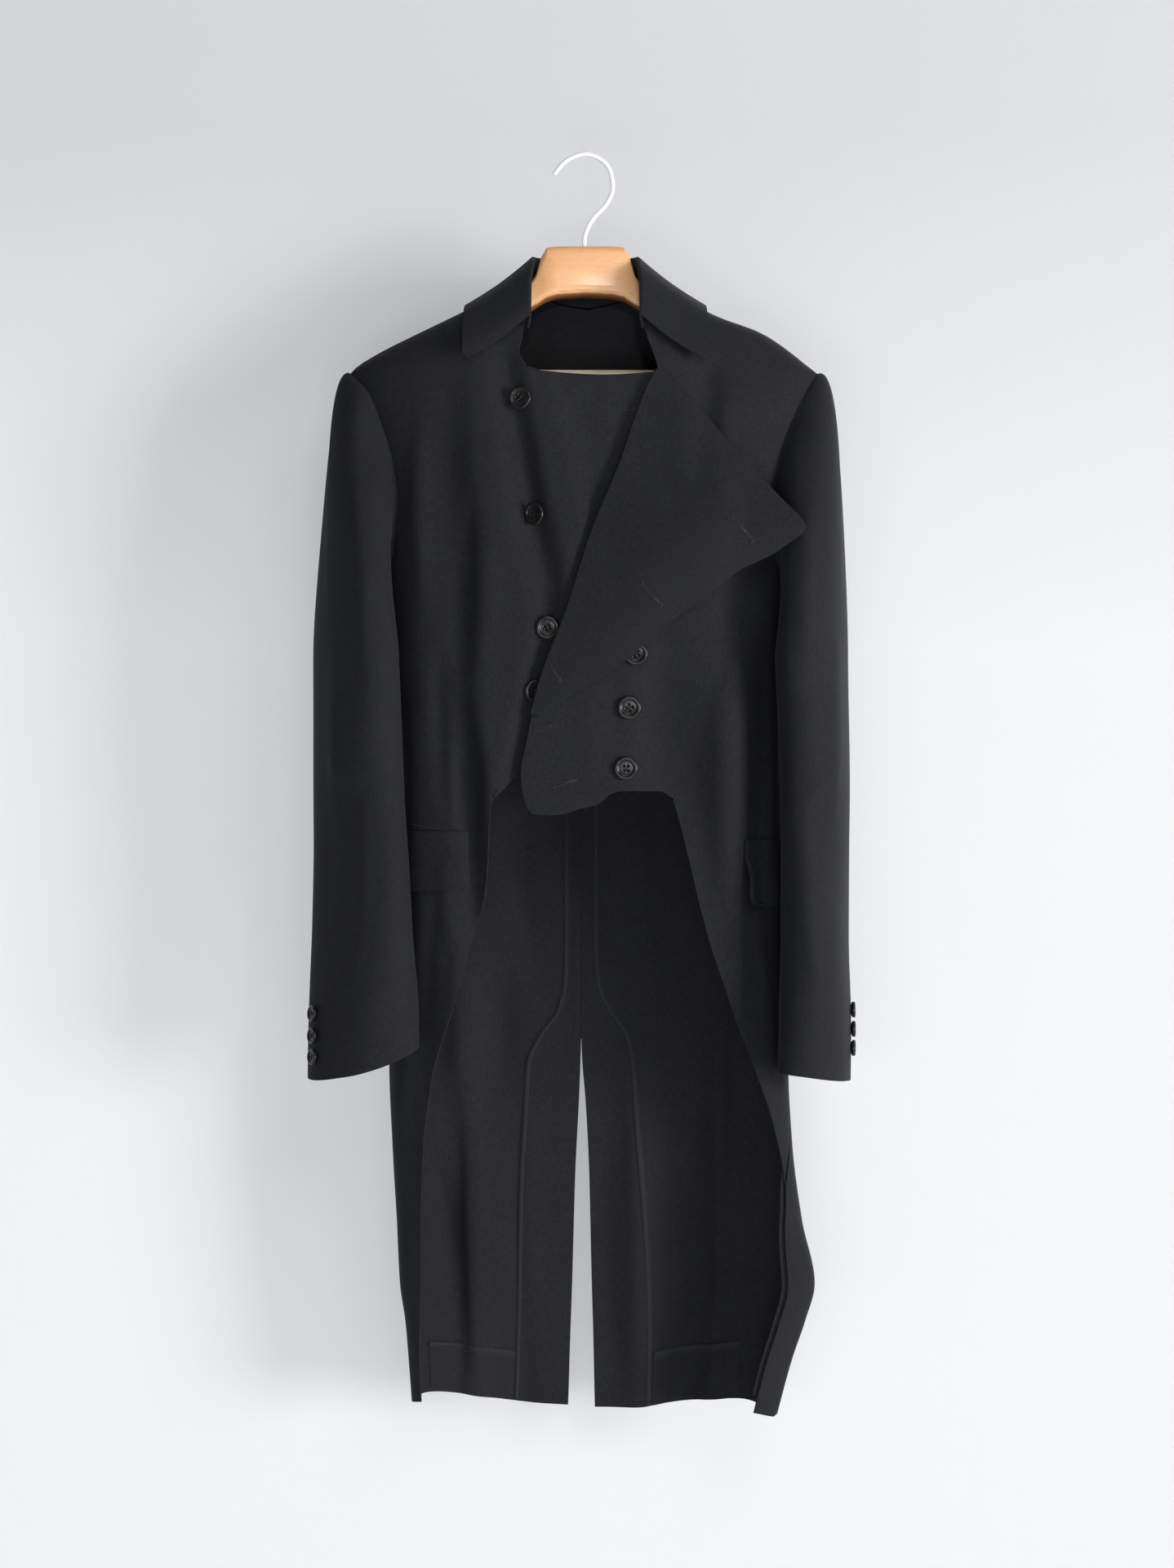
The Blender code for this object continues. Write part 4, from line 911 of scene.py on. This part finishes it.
def sleeves():
    made = {}
    front, rear = SLEEVE_SEAMS
    downs = np.concatenate([(-SEAM_TURN_IN, -SEAM_TURN_IN / 2), spread(0, 1, 34),
                            spread(1, 2, 76)[1:]])
    margin = math.radians(0.25)
    for side in ("right", "left"):
        facing = 1 if side == "right" else -1
        out = -1 if side == "right" else 1

        def surface(turn, down, side=side):
            return sleeve_point(side, turn, down)
        form = shaped(surface, f"sleeve_{side}", facing, (0.03, 0.012))
        for part, first, last, count, hint in (
                ("top", rear - 360, front, 46, (out, 0, 0)),
                ("under", front, rear, 40, (-out, 0, 0))):
            turns = spread(math.radians(first) + margin, math.radians(last) - margin, count)
            a, b = np.meshgrid(turns, downs)
            made[f"{part}_{side}"] = sheet_piece(
                f"sleeve_{part}_{side}_cloth", form(a, b), hint, [f"sleeve_{part}_{side}"])
    return made


def turned_overlap():
    downs = np.concatenate([spread(3, 26, 10), spread(26, 338, 70)[1:]])
    across = np.concatenate([spread(-FOLD_ROLL, 0, 8)[:-1], spread(0, 1, 34)])
    a, b = np.meshgrid(across, downs)
    flat = shaped(turned_back, "turned", -1, (0.02, 0.4))(np.maximum(a, 0), b)
    points = np.where((a < 0)[..., None], turned_back(a, b), flat)
    return sheet_piece("facing_left_cloth", points, (0, -1, 0), ["facing_left"],
                       thickness=1.2)


def collar_piece():
    stations = spread(0, 2 * (len(COLLAR) - 1), 150)
    across = np.concatenate([spread(0, 0.93, 12), spread(0.96, 1.15, 8), spread(1.19, 2, 22)])
    b, a = np.meshgrid(across, stations)
    points = collar_point(a, b)
    made = sheet_piece("collar_cloth", points, (0, 0, 1), ["collar"], offset=0.0)
    return made


def inside_back(side, x, z, depth):
    """Points inside a back panel, a given depth in from its outer face."""
    z = np.broadcast_to(z, np.shape(x))
    share = ease((z + 1100) / (HEM_LEVEL + 1100))
    level = z + share * hem_drop(side, x, HEM_LEVEL)
    turn = turn_at(x, z)
    form = shaped(whole_back, "back", -1, (0.02, 0.6))
    along = form(turn + 0.02, level) - form(turn - 0.02, level)
    down = form(turn, level + 0.6) - form(turn, level - 0.6)
    normal = -unit(np.cross(along, down))
    return form(turn, level) - normal * np.expand_dims(depth, -1)


FACING_DEPTH = CLOTH + STRIP_GAP
TAPE_WIDTH = 4.6
HEM_TOP = -1112
HEM_FALL = 10


def seam_row(name, points, pitch=2.8):
    """A row of small stitches along a line of points inside the coat."""
    bm = bmesh.new()
    ahead = np.concatenate([[0.0], np.cumsum(np.linalg.norm(np.diff(points, axis=0), axis=1))])
    for at in np.arange(pitch, ahead[-1] - pitch, pitch):
        place, before, after = (Vector([np.interp(at + shift, ahead, points[:, k])
                                        for k in range(3)]) * MM for shift in (0, -1, 1))
        add_stitch(bm, place, after - before, Vector((0, -1, 0)), 1.5 * MM, 0.6 * MM)
    publish(name, bm, ["topstitch"])


def strips():
    """The bound facings inside the tails, with the tape along their inner edges."""
    for side in ("right", "left"):
        sign = -1 if side == "right" else 1
        z = stretch((-600, -1158), 3.0)[:, None]
        aside = spread(-0.5, 0.5, 8)[None, :]
        dome = 0.9 * np.sqrt(np.clip(1 - (2 * aside) ** 2, 0, 1))
        line = read(VENT_FACING, EDGE_COLUMNS, side, z)
        points = inside_back(side, line + aside * TAPE_WIDTH, z, FACING_DEPTH + 0.1 + dome)
        tape = sheet_piece(f"vent_tape_{side}", points, (0, -1, 0),
                           paints=("binding",), thickness=0.5, declared=False)
        beside = inside_back(side, line + sign * 0.62 * TAPE_WIDTH, z, FACING_DEPTH + 0.1)
        seam_row(f"vent_stitches_{side}", beside[:, 0])
        z = stretch((-597, -1160))[:, None]
        share = spread(0, 1, 12)[None, :]
        line = read(VENT_FACING, EDGE_COLUMNS, side, z)
        edge = read(CENTRE, EDGE_COLUMNS, side, z) + sign * SEAM * 2
        points = inside_back(side, mix(line, edge, share), z, np.full((1, 1), FACING_DEPTH))
        sheet_piece(f"vent_facing_{side}_cloth", points, (0, -1, 0), [f"vent_facing_{side}"],
                    paints=("inside",),
                    thickness=1.2, with_pieces=(tape,))
        share = spread(0, 1, 26)[None, :]
        z = mix(HEM_TOP - HEM_FALL * (1 - share), -1157.0, spread(0, 1, 10)[:, None])
        start = read(VENT_FACING, EDGE_COLUMNS, side, z[:, :1]) + sign * 3.5
        end = HEM_END[side] + (z[:, -1:] - HEM_TOP) * 0.05 * sign
        facing = inside_back(side, mix(start, end, share), z, np.full((1, 1), FACING_DEPTH))
        share = spread(0, 1, 34)[:, None]
        x = np.broadcast_to(mix(float(start[0, 0]), HEM_END[side], share), (35, 9))
        z = HEM_TOP - HEM_FALL * (1 - share) + aside * TAPE_WIDTH
        points = inside_back(side, x, z, FACING_DEPTH + 0.1 + np.broadcast_to(dome, (35, 9)))
        tape = sheet_piece(f"hem_tape_{side}", points, (0, -1, 0),
                           paints=("binding",), thickness=0.5, declared=False)
        beside = inside_back(side, x[:, :1], z[:, :1] - 0.2 * TAPE_WIDTH,
                             np.full((35, 1), FACING_DEPTH + 0.1))
        seam_row(f"hem_stitches_{side}", beside[:, 0])
        sheet_piece(f"hem_facing_{side}_cloth", facing, (0, -1, 0), [f"hem_facing_{side}"],
                    paints=("inside",),
                    thickness=1.2, with_pieces=(tape,))


def tree_of(piece):
    graph = bpy.context.evaluated_depsgraph_get()
    return BVHTree.FromObject(piece.evaluated_get(graph), graph)


def land(tree, start, heading):
    """Where a line from start first meets a piece, and the face's way out there."""
    place, normal = tree.ray_cast(Vector(start), Vector(heading).normalized())[:2]
    if place is None:
        return None
    if normal.dot(Vector(heading)) > 0:
        normal = -normal
    return place, normal


def pixel_ray(px, py):
    """A line from the camera through a place in the 1438 by 1920 picture."""
    heading = Vector(((px - 719) * PIXEL, 3000, (960 - py) * PIXEL))
    return camera_place(), heading


PIXEL = 0.76


def camera_place():
    return Vector((1.5, -3000, -584.4)) * MM


def add_stitch(bm, place, along, normal, length, width):
    """One short raised stitch: a stretched ball of twenty faces."""
    along = (along - normal * along.dot(normal)).normalized()
    side = normal.cross(along)
    turn = Matrix((along, side, normal)).transposed().to_4x4()
    turn.translation = place + normal * width * 0.25
    bmesh.ops.create_icosphere(
        bm, subdivisions=1, radius=1.0,
        matrix=turn @ Matrix.Diagonal((length / 2, width / 2, width / 2, 1)))


def stitched_line(bm, tree, pixels, pitch, length, width):
    """Stitches along a line through places in the picture, lying on a piece."""
    marks = [land(tree, *pixel_ray(*pixel)) for pixel in pixels]
    marks = [mark for mark in marks if mark]
    for (a, na), (b, nb) in zip(marks, marks[1:]):
        run = b - a
        count = max(1, round(run.length / pitch))
        for i in range(count):
            share = (i + 0.5) / count
            guess = a.lerp(b, share)
            found = land(tree, guess + na * 0.01, -na)
            if found:
                add_stitch(bm, *found[:1], run, found[1], length, width)


BUTTONHOLES = [
    ("turned", (898, 632), (920, 660), 1), ("turned", (786, 715), (808, 739), 1),
    ("turned", (672, 812), (684, 831), 1), ("front_left", (688, 885), (655, 894), 0),
    ("front_left", (705, 955), (679, 962), 0), ("front_right", (768, 500), (789, 501), 1),
]


def buttonholes():
    """Worked holes: gimp stitches along both lips, round the eye, and a bar at the other end, with
    a near-black painted-shadow box in the slit.
    """
    for number, (carrier, start, end, keyhole) in enumerate(BUTTONHOLES):
        tree = tree_of(cloths[carrier])
        first, last = (land(tree, *pixel_ray(*pixel)) for pixel in (start, end))
        if not first or not last:
            continue
        (a, normal), (b, _) = first, last
        run = b - a
        along = (run - normal * run.dot(normal)).normalized()
        side = normal.cross(along)
        long = run.length
        bm = bmesh.new()
        lip = 0.95 * MM
        rows = round(long / (0.62 * MM))
        for i in range(rows):
            for way in (-1, 1):
                place = a + run * ((i + 0.5) / rows) + side * way * lip
                found = land(tree, place + normal * 0.006, -normal)
                if found:
                    add_stitch(bm, found[0], side, found[1], 1.2 * MM, 0.62 * MM)
        for i in range(5):
            place = a - along * 0.4 * MM + side * (i - 2) * 0.75 * MM
            add_stitch(bm, place, along, normal, 1.5 * MM, 0.8 * MM)
        if keyhole:
            eye = b + along * 1.3 * MM
            for i in range(16):
                angle = math.radians(-135 + 270 * i / 15)
                spoke = along * math.cos(angle) + side * math.sin(angle)
                add_stitch(bm, eye + spoke * 2.0 * MM, spoke, normal, 1.6 * MM, 0.62 * MM)
        else:
            for i in range(5):
                place = b + along * 0.4 * MM + side * (i - 2) * 0.75 * MM
                add_stitch(bm, place, along, normal, 1.5 * MM, 0.8 * MM)
        publish(f"buttonhole_{number + 1}", bm, ["gimp"])
        # A near-black flat box in each slit, with a disc at the eye: painted shadow in the cut.
        pit = bmesh.new()
        bmesh.ops.create_cube(pit, size=1.0)
        turn = Matrix((along, side, normal)).transposed().to_4x4()
        turn.translation = (a + b) / 2 + normal * 0.05 * MM
        bmesh.ops.transform(pit, verts=pit.verts, matrix=turn @ Matrix.Diagonal(
            (long, 0.95 * MM, 0.22 * MM, 1)))
        if keyhole:
            turn.translation = b + along * 1.3 * MM + normal * 0.05 * MM
            bmesh.ops.create_cone(pit, cap_ends=True, segments=14, radius1=1.3 * MM,
                                  radius2=1.3 * MM, depth=0.24 * MM, matrix=turn)
        publish(f"buttonhole_slit_{number + 1}", pit, ["shadow"])


BUTTON_THICKNESS = 4.0


def button_mesh(diameter, bore):
    """A turned four-hole button with a rolled rim and a dished middle."""
    radius = diameter / 2
    profile = [(0, 0), (0.62, 0), (0.82, 0.10), (0.94, 0.30), (0.995, 0.52), (1.0, 0.68),
               (0.975, 0.84), (0.92, 0.96), (0.85, 1.0), (0.77, 0.97), (0.70, 0.88),
               (0.655, 0.76), (0.60, 0.69), (0.45, 0.66), (0.2, 0.64), (0, 0.635)]
    bm = bmesh.new()
    verts = [bm.verts.new((r * radius, 0, h * BUTTON_THICKNESS)) for r, h in profile]
    edges = [bm.edges.new(pair) for pair in zip(verts, verts[1:])]
    bmesh.ops.spin(bm, geom=verts + edges, cent=(0, 0, 0), axis=(0, 0, 1),
                   angle=2 * math.pi, steps=40, use_merge=True, use_duplicate=False)
    bmesh.ops.remove_doubles(bm, verts=bm.verts, dist=0.001)
    bmesh.ops.recalc_face_normals(bm, faces=bm.faces)
    whole = bpy.data.meshes.new("button_blank")
    bm.to_mesh(whole)
    bm.free()
    cutter = bmesh.new()
    for i in range(4):
        angle = math.pi / 4 + i * math.pi / 2
        bmesh.ops.create_cone(
            cutter, cap_ends=True, segments=14, radius1=bore, radius2=bore, depth=20,
            matrix=Matrix.Translation((1.9 * bore * math.cos(angle),
                                       1.9 * bore * math.sin(angle), 0)))
    holes = bpy.data.meshes.new("button_holes")
    cutter.to_mesh(holes)
    cutter.free()
    blank, drill = (bpy.data.objects.new(mesh.name, mesh) for mesh in (whole, holes))
    for made in (blank, drill):
        bpy.context.scene.collection.objects.link(made)
    cut = blank.modifiers.new("holes", "BOOLEAN")
    cut.object = drill
    graph = bpy.context.evaluated_depsgraph_get()
    drilled = bpy.data.meshes.new_from_object(blank.evaluated_get(graph))
    for made in (blank, drill):
        bpy.data.objects.remove(made)
    return drilled


def button_place(node):
    """The middle and way out of a button's solid."""
    points = np.array([v.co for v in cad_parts[node].data.vertices], float)
    centred = points - points.mean(axis=0)
    normal = Vector(np.linalg.svd(centred, full_matrices=False)[2][2])
    return Vector(points.mean(axis=0)), normal


def buttons():
    """Sewn buttons on their solids' places, each turned a little its own way."""
    meshes = {"front": button_mesh(21.5, 1.15), "cuff": button_mesh(15.0, 0.95)}
    for order, node in enumerate(sorted(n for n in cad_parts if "button" in n)):
        cuff = node.startswith("cuff")
        middle, normal = button_place(node)
        if cuff:
            carrier = cloths["top_right" if "right" in node else "top_left"]
        else:
            carrier = cloths["front_right" if "right" in node else "front_left"]
        outward = Vector((middle.x - (-0.205 if "right" in node else 0.21), middle.y + 0.042, 0))
        if not cuff:
            outward = Vector((0, -1, 0))
        if normal.dot(outward) < 0:
            normal = -normal
        radius = (15.0 if cuff else 21.5) / 2 * MM
        tree = tree_of(carrier)
        side = normal.orthogonal().normalized()
        over = normal.cross(side)
        proud = []
        for share in (0.0, 0.4, 0.7, 0.95):
            for i in range(12):
                angle = math.tau * i / 12
                spoke = (side * math.cos(angle) + over * math.sin(angle)) * radius * share
                found = land(tree, middle + spoke + normal * 0.02, -normal)
                if found and abs((found[0] - middle).dot(normal)) < 0.01:
                    lift = 0.45 * BUTTON_THICKNESS * MM * max(0.0, (share - 0.7) / 0.3)
                    proud.append((found[0] - middle).dot(normal) - lift)
        base = middle + normal * ((max(proud) if proud else -2 * MM) + 0.15 * MM)
        turn = normal.to_track_quat("Z", "Y").to_matrix().to_4x4()
        turn = turn @ Matrix.Rotation(math.radians(17 + 37 * order), 4, "Z")
        turn.translation = base
        bm = bmesh.new()
        bm.from_mesh(meshes["cuff" if cuff else "front"])
        bmesh.ops.transform(bm, verts=bm.verts, matrix=turn @ Matrix.Scale(MM, 4))
        publish(f"{node}_horn", bm, ["horn"], [node])
        bm = bmesh.new()
        spacing = 1.9 * (0.95 if cuff else 1.15) * MM * math.sin(math.pi / 4)
        top = 0.66 * BUTTON_THICKNESS * MM
        for way in (-1, 1):
            for strand in (-0.32, 0.0, 0.32):
                place = turn @ Vector((0, way * spacing + strand * MM, top + 0.1 * MM))
                add_stitch(bm, place, turn.to_3x3() @ Vector((1, 0, 0)), normal,
                           2.5 * spacing, 0.5 * MM)
        bmesh.ops.create_cone(
            bm, cap_ends=True, segments=10, radius1=1.5 * MM, radius2=1.5 * MM, depth=3 * MM,
            matrix=turn @ Matrix.Translation((0, 0, 0.2 * MM)))
        publish(f"{node}_thread", bm, ["thread"])
    for mesh in meshes.values():
        bpy.data.meshes.remove(mesh)


POCKET = {"right": (-627, -634.5, -680, 5.0), "left": (-634.5, -646, -694, 6.0)}
POCKET_END = {"right": -107, "left": 141}
HEM_END = {"right": -149, "left": 148}


def on_front(side, x, z, lift):
    surface = whole_front(right_front if side == "right" else left_front)
    form = shaped(surface, f"front_{side}", 1, (0.02, 0.6))
    turn = turn_at(x, z)
    along = form(turn + 0.02, z) - form(turn - 0.02, z)
    down = form(turn, z + 0.6) - form(turn, z - 0.6)
    normal = unit(np.cross(along, down))
    return form(turn, z) + normal * np.expand_dims(lift, -1)


def pockets():
    """A narrow welt and a round-cornered flap on each hip."""
    for side in ("right", "left"):
        top, join, bottom, slope = POCKET[side]
        inner = POCKET_END[side]
        sign = -1 if side == "right" else 1
        outer = sign * (girth(side, join) - 3.5)
        share = spread(0, 1, 40)[None, :]
        z = spread(top, join - 1.5, 6)[:, None]
        x = mix(outer, inner, share) + 0 * z
        round_over = 0.8 * np.sqrt(np.clip(1 - ((z - (top + join - 1.5) / 2)
                                                / ((top - join + 1.5) / 2)) ** 2, 0, 1))
        points = on_front(side, x, z + 0 * x, CLOTH + 0.5 + round_over + 0 * x)
        welt = sheet_piece(f"pocket_welt_{side}_cloth", points, (0, -1, 0),
                           [f"pocket_welt_{side}"], paints=("wool",), thickness=1.3,
                           declared=False)
        down = spread(0, 1, 22)[:, None]
        corner = np.clip((down - 0.76) / 0.24, 0, 1)
        round_in = 11 * (1 - np.sqrt(1 - corner ** 2))
        reach = abs(outer - inner) - round_in
        x = outer - sign * share * reach
        z = join - 0.4 + (bottom - join) * down - slope * down * (1 - share) * 0.6
        edge_lift = 1.6 if side == "right" else 6.5
        curl = CLOTH + 1.0 + 3.2 * ease(down)
        curl = curl + edge_lift * ease((share - 0.6) / 0.4) * ease(down * 2)
        if side == "left":
            curl = curl + 3.0 * np.sin(np.pi * share) * ease(down * 3) * (1 - ease(down - 0.7))
        points = on_front(side, x, z, curl)
        sheet_piece(f"pocket_flap_{side}_cloth", points, (0, -1, 0), [f"pocket_flap_{side}"],
                    paints=("wool", "wool"), thickness=1.5,
                    with_pieces=(welt,))


TOPSTITCH = [
    ("front_right", (503, 1008), (569, 1019)), ("front_right", (569, 1019), (570, 1026)),
    ("front_left", (906, 1032), (953, 1035)),
]


def topstitching():
    """Rows of stitches above the welts and at their inner ends."""
    for number, (carrier, start, end) in enumerate(TOPSTITCH):
        bm = bmesh.new()
        stitched_line(bm, tree_of(cloths[carrier]), (start, end), 2.6 * MM, 1.7 * MM, 0.5 * MM)
        publish(f"topstitching_{number + 1}", bm, ["topstitch"])


ARM_COLUMNS = ("x", "top", "bottom", "half_depth")
ARM = [
    (0, -85.5, -131, 16), (26, -85.5, -132.5, 16), (36, -86.5, -135, 15), (41, -95, -138, 13),
    (46, -112, -141, 12), (60, -130, -150, 11), (90, -137.3, -171, 11), (130, -156.4, -197, 12),
    (170, -177.6, -222, 14), (190, -189, -226, 15), (203, -206, -222, 13),
]


def hanger():
    """The neck block with its sloping arms; the trouser bar, the plug and the wire hook stay as
    imported.
    """
    bm = bmesh.new()
    stations = [(-row[0], *row[1:]) for row in reversed(ARM)] + ARM[1:]
    rings = []
    for x, top, bottom, half in stations:
        ring = bmesh.ops.create_circle(bm, segments=28, radius=1.0)["verts"]
        for i, vert in enumerate(ring):
            angle = math.tau * i / 28
            y, z = math.cos(angle), math.sin(angle)
            y = math.copysign(abs(y) ** 0.36, y) * half
            z = (top + bottom) / 2 + math.copysign(abs(z) ** 0.36, z) * (top - bottom) / 2
            vert.co = Vector((x, y, z)) * MM
        rings.append([edge for edge in {e for v in ring for e in v.link_edges}])
    for near, far in zip(rings, rings[1:]):
        bmesh.ops.bridge_loops(bm, edges=near + far)
    for end in (rings[0], rings[-1]):
        bmesh.ops.contextual_create(bm, geom=end)
    bmesh.ops.recalc_face_normals(bm, faces=bm.faces)
    # Downward faces of the middle block take the darker beech copy: painted shade on the
    # underside.
    for face in bm.faces:
        if face.normal.z < -0.6 and abs(face.calc_center_median().x) < 0.055:
            face.material_index = 1
    body = publish("hanger_body_wood", bm, ["beech", "beech_underside_painted_shade"], ["hanger_body"])
    crease = body.modifiers.new("rounding", "BEVEL")
    crease.width = 2.2 * MM
    crease.segments = 3
    crease.limit_method = "ANGLE"
    crease.angle_limit = math.radians(22)
    crease.harden_normals = True


cloths = panels()
cloths.update(sleeves())
cloths["turned"] = turned_overlap()
cloths["collar"] = collar_piece()
strips()
pockets()
hanger()
buttonholes()
topstitching()
buttons()

for name, paint in (("hanger_bar", "pale_wood"), ("hanger_plug", "plug"),
                    ("hanger_hook", "wire")):
    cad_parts[name].data.materials.clear()
    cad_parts[name].data.materials.append(PAINTS[paint])


# Darker colour towards the top of the wall: painted shade.
WALL_TOP_PAINTED_SHADE = (0.350, 0.355, 0.368)


def stage_surface(name, corners, colour, one_sided=False, shaded=None, glow=0.0):
    """A backdrop with painted shade to one side and at the top, an optional painted glow, and
    clear from behind.
    """
    bm = bmesh.new()
    bmesh.ops.create_grid(bm, x_segments=1, y_segments=1, size=0.5)
    for vert, corner in zip(bm.verts, corners):
        vert.co = corner
    bmesh.ops.recalc_face_normals(bm, faces=bm.faces)
    mesh = bpy.data.meshes.new(name)
    bm.to_mesh(mesh)
    bm.free()
    made = bpy.data.objects.new(name, mesh)
    bpy.context.scene.collection.objects.link(made)
    paint = Finish(name)
    # Painted shade: darker towards one side and towards the top.
    if shaded:
        split = paint.tree.nodes.new("ShaderNodeSeparateXYZ")
        plug(paint.tree, paint.coords, split.inputs[0])
        across = Value(paint.tree, split.outputs[0]) * 0.8 + 0.5
        upper = paint.ramp(Value(paint.tree, split.outputs[2]) + 0.45, (0.0, 0.0), (0.5, 1.0))
        colour = paint.blend(paint.ramp(across, (0.0, 0.0), (1.0, 1.0)), colour, shaded)
        colour = paint.blend(upper, colour, WALL_TOP_PAINTED_SHADE)
    # Emission in the surface's own colour: a painted glow on the backdrop.
    paint.set(Base_Color=colour, Roughness=0.9, Specular_IOR_Level=0.1,
              Emission_Color=colour, Emission_Strength=glow)
    if one_sided:
        back = paint.node("ShaderNodeNewGeometry", out="Backfacing")
        clear = paint.tree.nodes.new("ShaderNodeBsdfTransparent")
        blend = paint.tree.nodes.new("ShaderNodeMixShader")
        plug(paint.tree, back, blend.inputs[0])
        paint.tree.links.new(paint.shader.outputs[0], blend.inputs[1])
        paint.tree.links.new(clear.outputs[0], blend.inputs[2])
        paint.tree.links.new(blend.outputs[0], paint.tree.nodes["Material Output"].inputs[0])
    mesh.materials.append(paint.material)
    return made


def aimed(name, data, place, target):
    """Put a light or camera in the scene, turned to face a target."""
    made = bpy.data.objects.new(name, data)
    made.location = place
    made.rotation_euler = (Vector(target) - Vector(place)).to_track_quat("-Z", "Y").to_euler()
    bpy.context.scene.collection.objects.link(made)
    return made


def area_light(name, place, target, size, power, colour=(1, 1, 1)):
    data = bpy.data.lights.new(name, "AREA")
    data.shape = "RECTANGLE"
    data.size, data.size_y = size
    data.energy = power
    data.color = colour
    return aimed(name, data, place, target)


stage_surface("floor", [(-6, -6, -1.62), (6, -6, -1.62), (-6, 6, -1.62), (6, 6, -1.62)],
              (0.80, 0.80, 0.80))
# The wall's one-side darkening, darker top and glow are painted shade and painted light.
wall = stage_surface("wall", [(-5, 0.13, -1.62), (5, 0.13, -1.62), (-5, 0.13, 2.6),
                              (5, 0.13, 2.6)], (0.465, 0.47, 0.485), one_sided=True,
                     shaded=(0.415, 0.42, 0.43),
                     glow=0.82)
wall.visible_shadow = False

area_light("window", (4.4, -3.3, -1.0), (0, 0, -0.8), (1.8, 2.8), 390, (1.0, 0.985, 0.96))
area_light("room", (0.9, -3.0, 1.2), (0, 0, -0.5), (1.4, 1.2), 22, (0.95, 0.97, 1.0))
area_light("fill", (-0.3, -3.2, -1.15), (0, 0, -0.75), (1.8, 0.7), 30, (0.93, 0.96, 1.0))
area_light("rear", (1.2, 2.8, 0.4), (0, 0, -0.6), (2.2, 2.2), 60)

beam = bpy.data.lights.new("neck", "SPOT")
beam.energy = 165
beam.spot_size = math.radians(3.2)
beam.spot_blend = 0.7
beam.shadow_soft_size = 0.1
aimed("neck", beam, (0.1, -3.0, 0.0), (0, 0.02, -0.17))

world = bpy.data.worlds.new("studio")
bpy.context.scene.world = world
world.use_nodes = True
world.node_tree.nodes["Background"].inputs["Color"].default_value = (0.86, 0.88, 0.92, 1)
world.node_tree.nodes["Background"].inputs["Strength"].default_value = 0.115
bpy.context.scene.view_settings.view_transform = "Standard"

lens = bpy.data.cameras.new("camera")
lens.sensor_fit = "HORIZONTAL"
lens.sensor_width = 36
lens.lens = 98.82
camera = bpy.data.objects.new("camera", lens)
camera.location = (0.0015, -3.0, -0.5844)
camera.rotation_euler = (math.pi / 2, 0, 0)
bpy.context.scene.collection.objects.link(camera)
bpy.context.scene.camera = camera
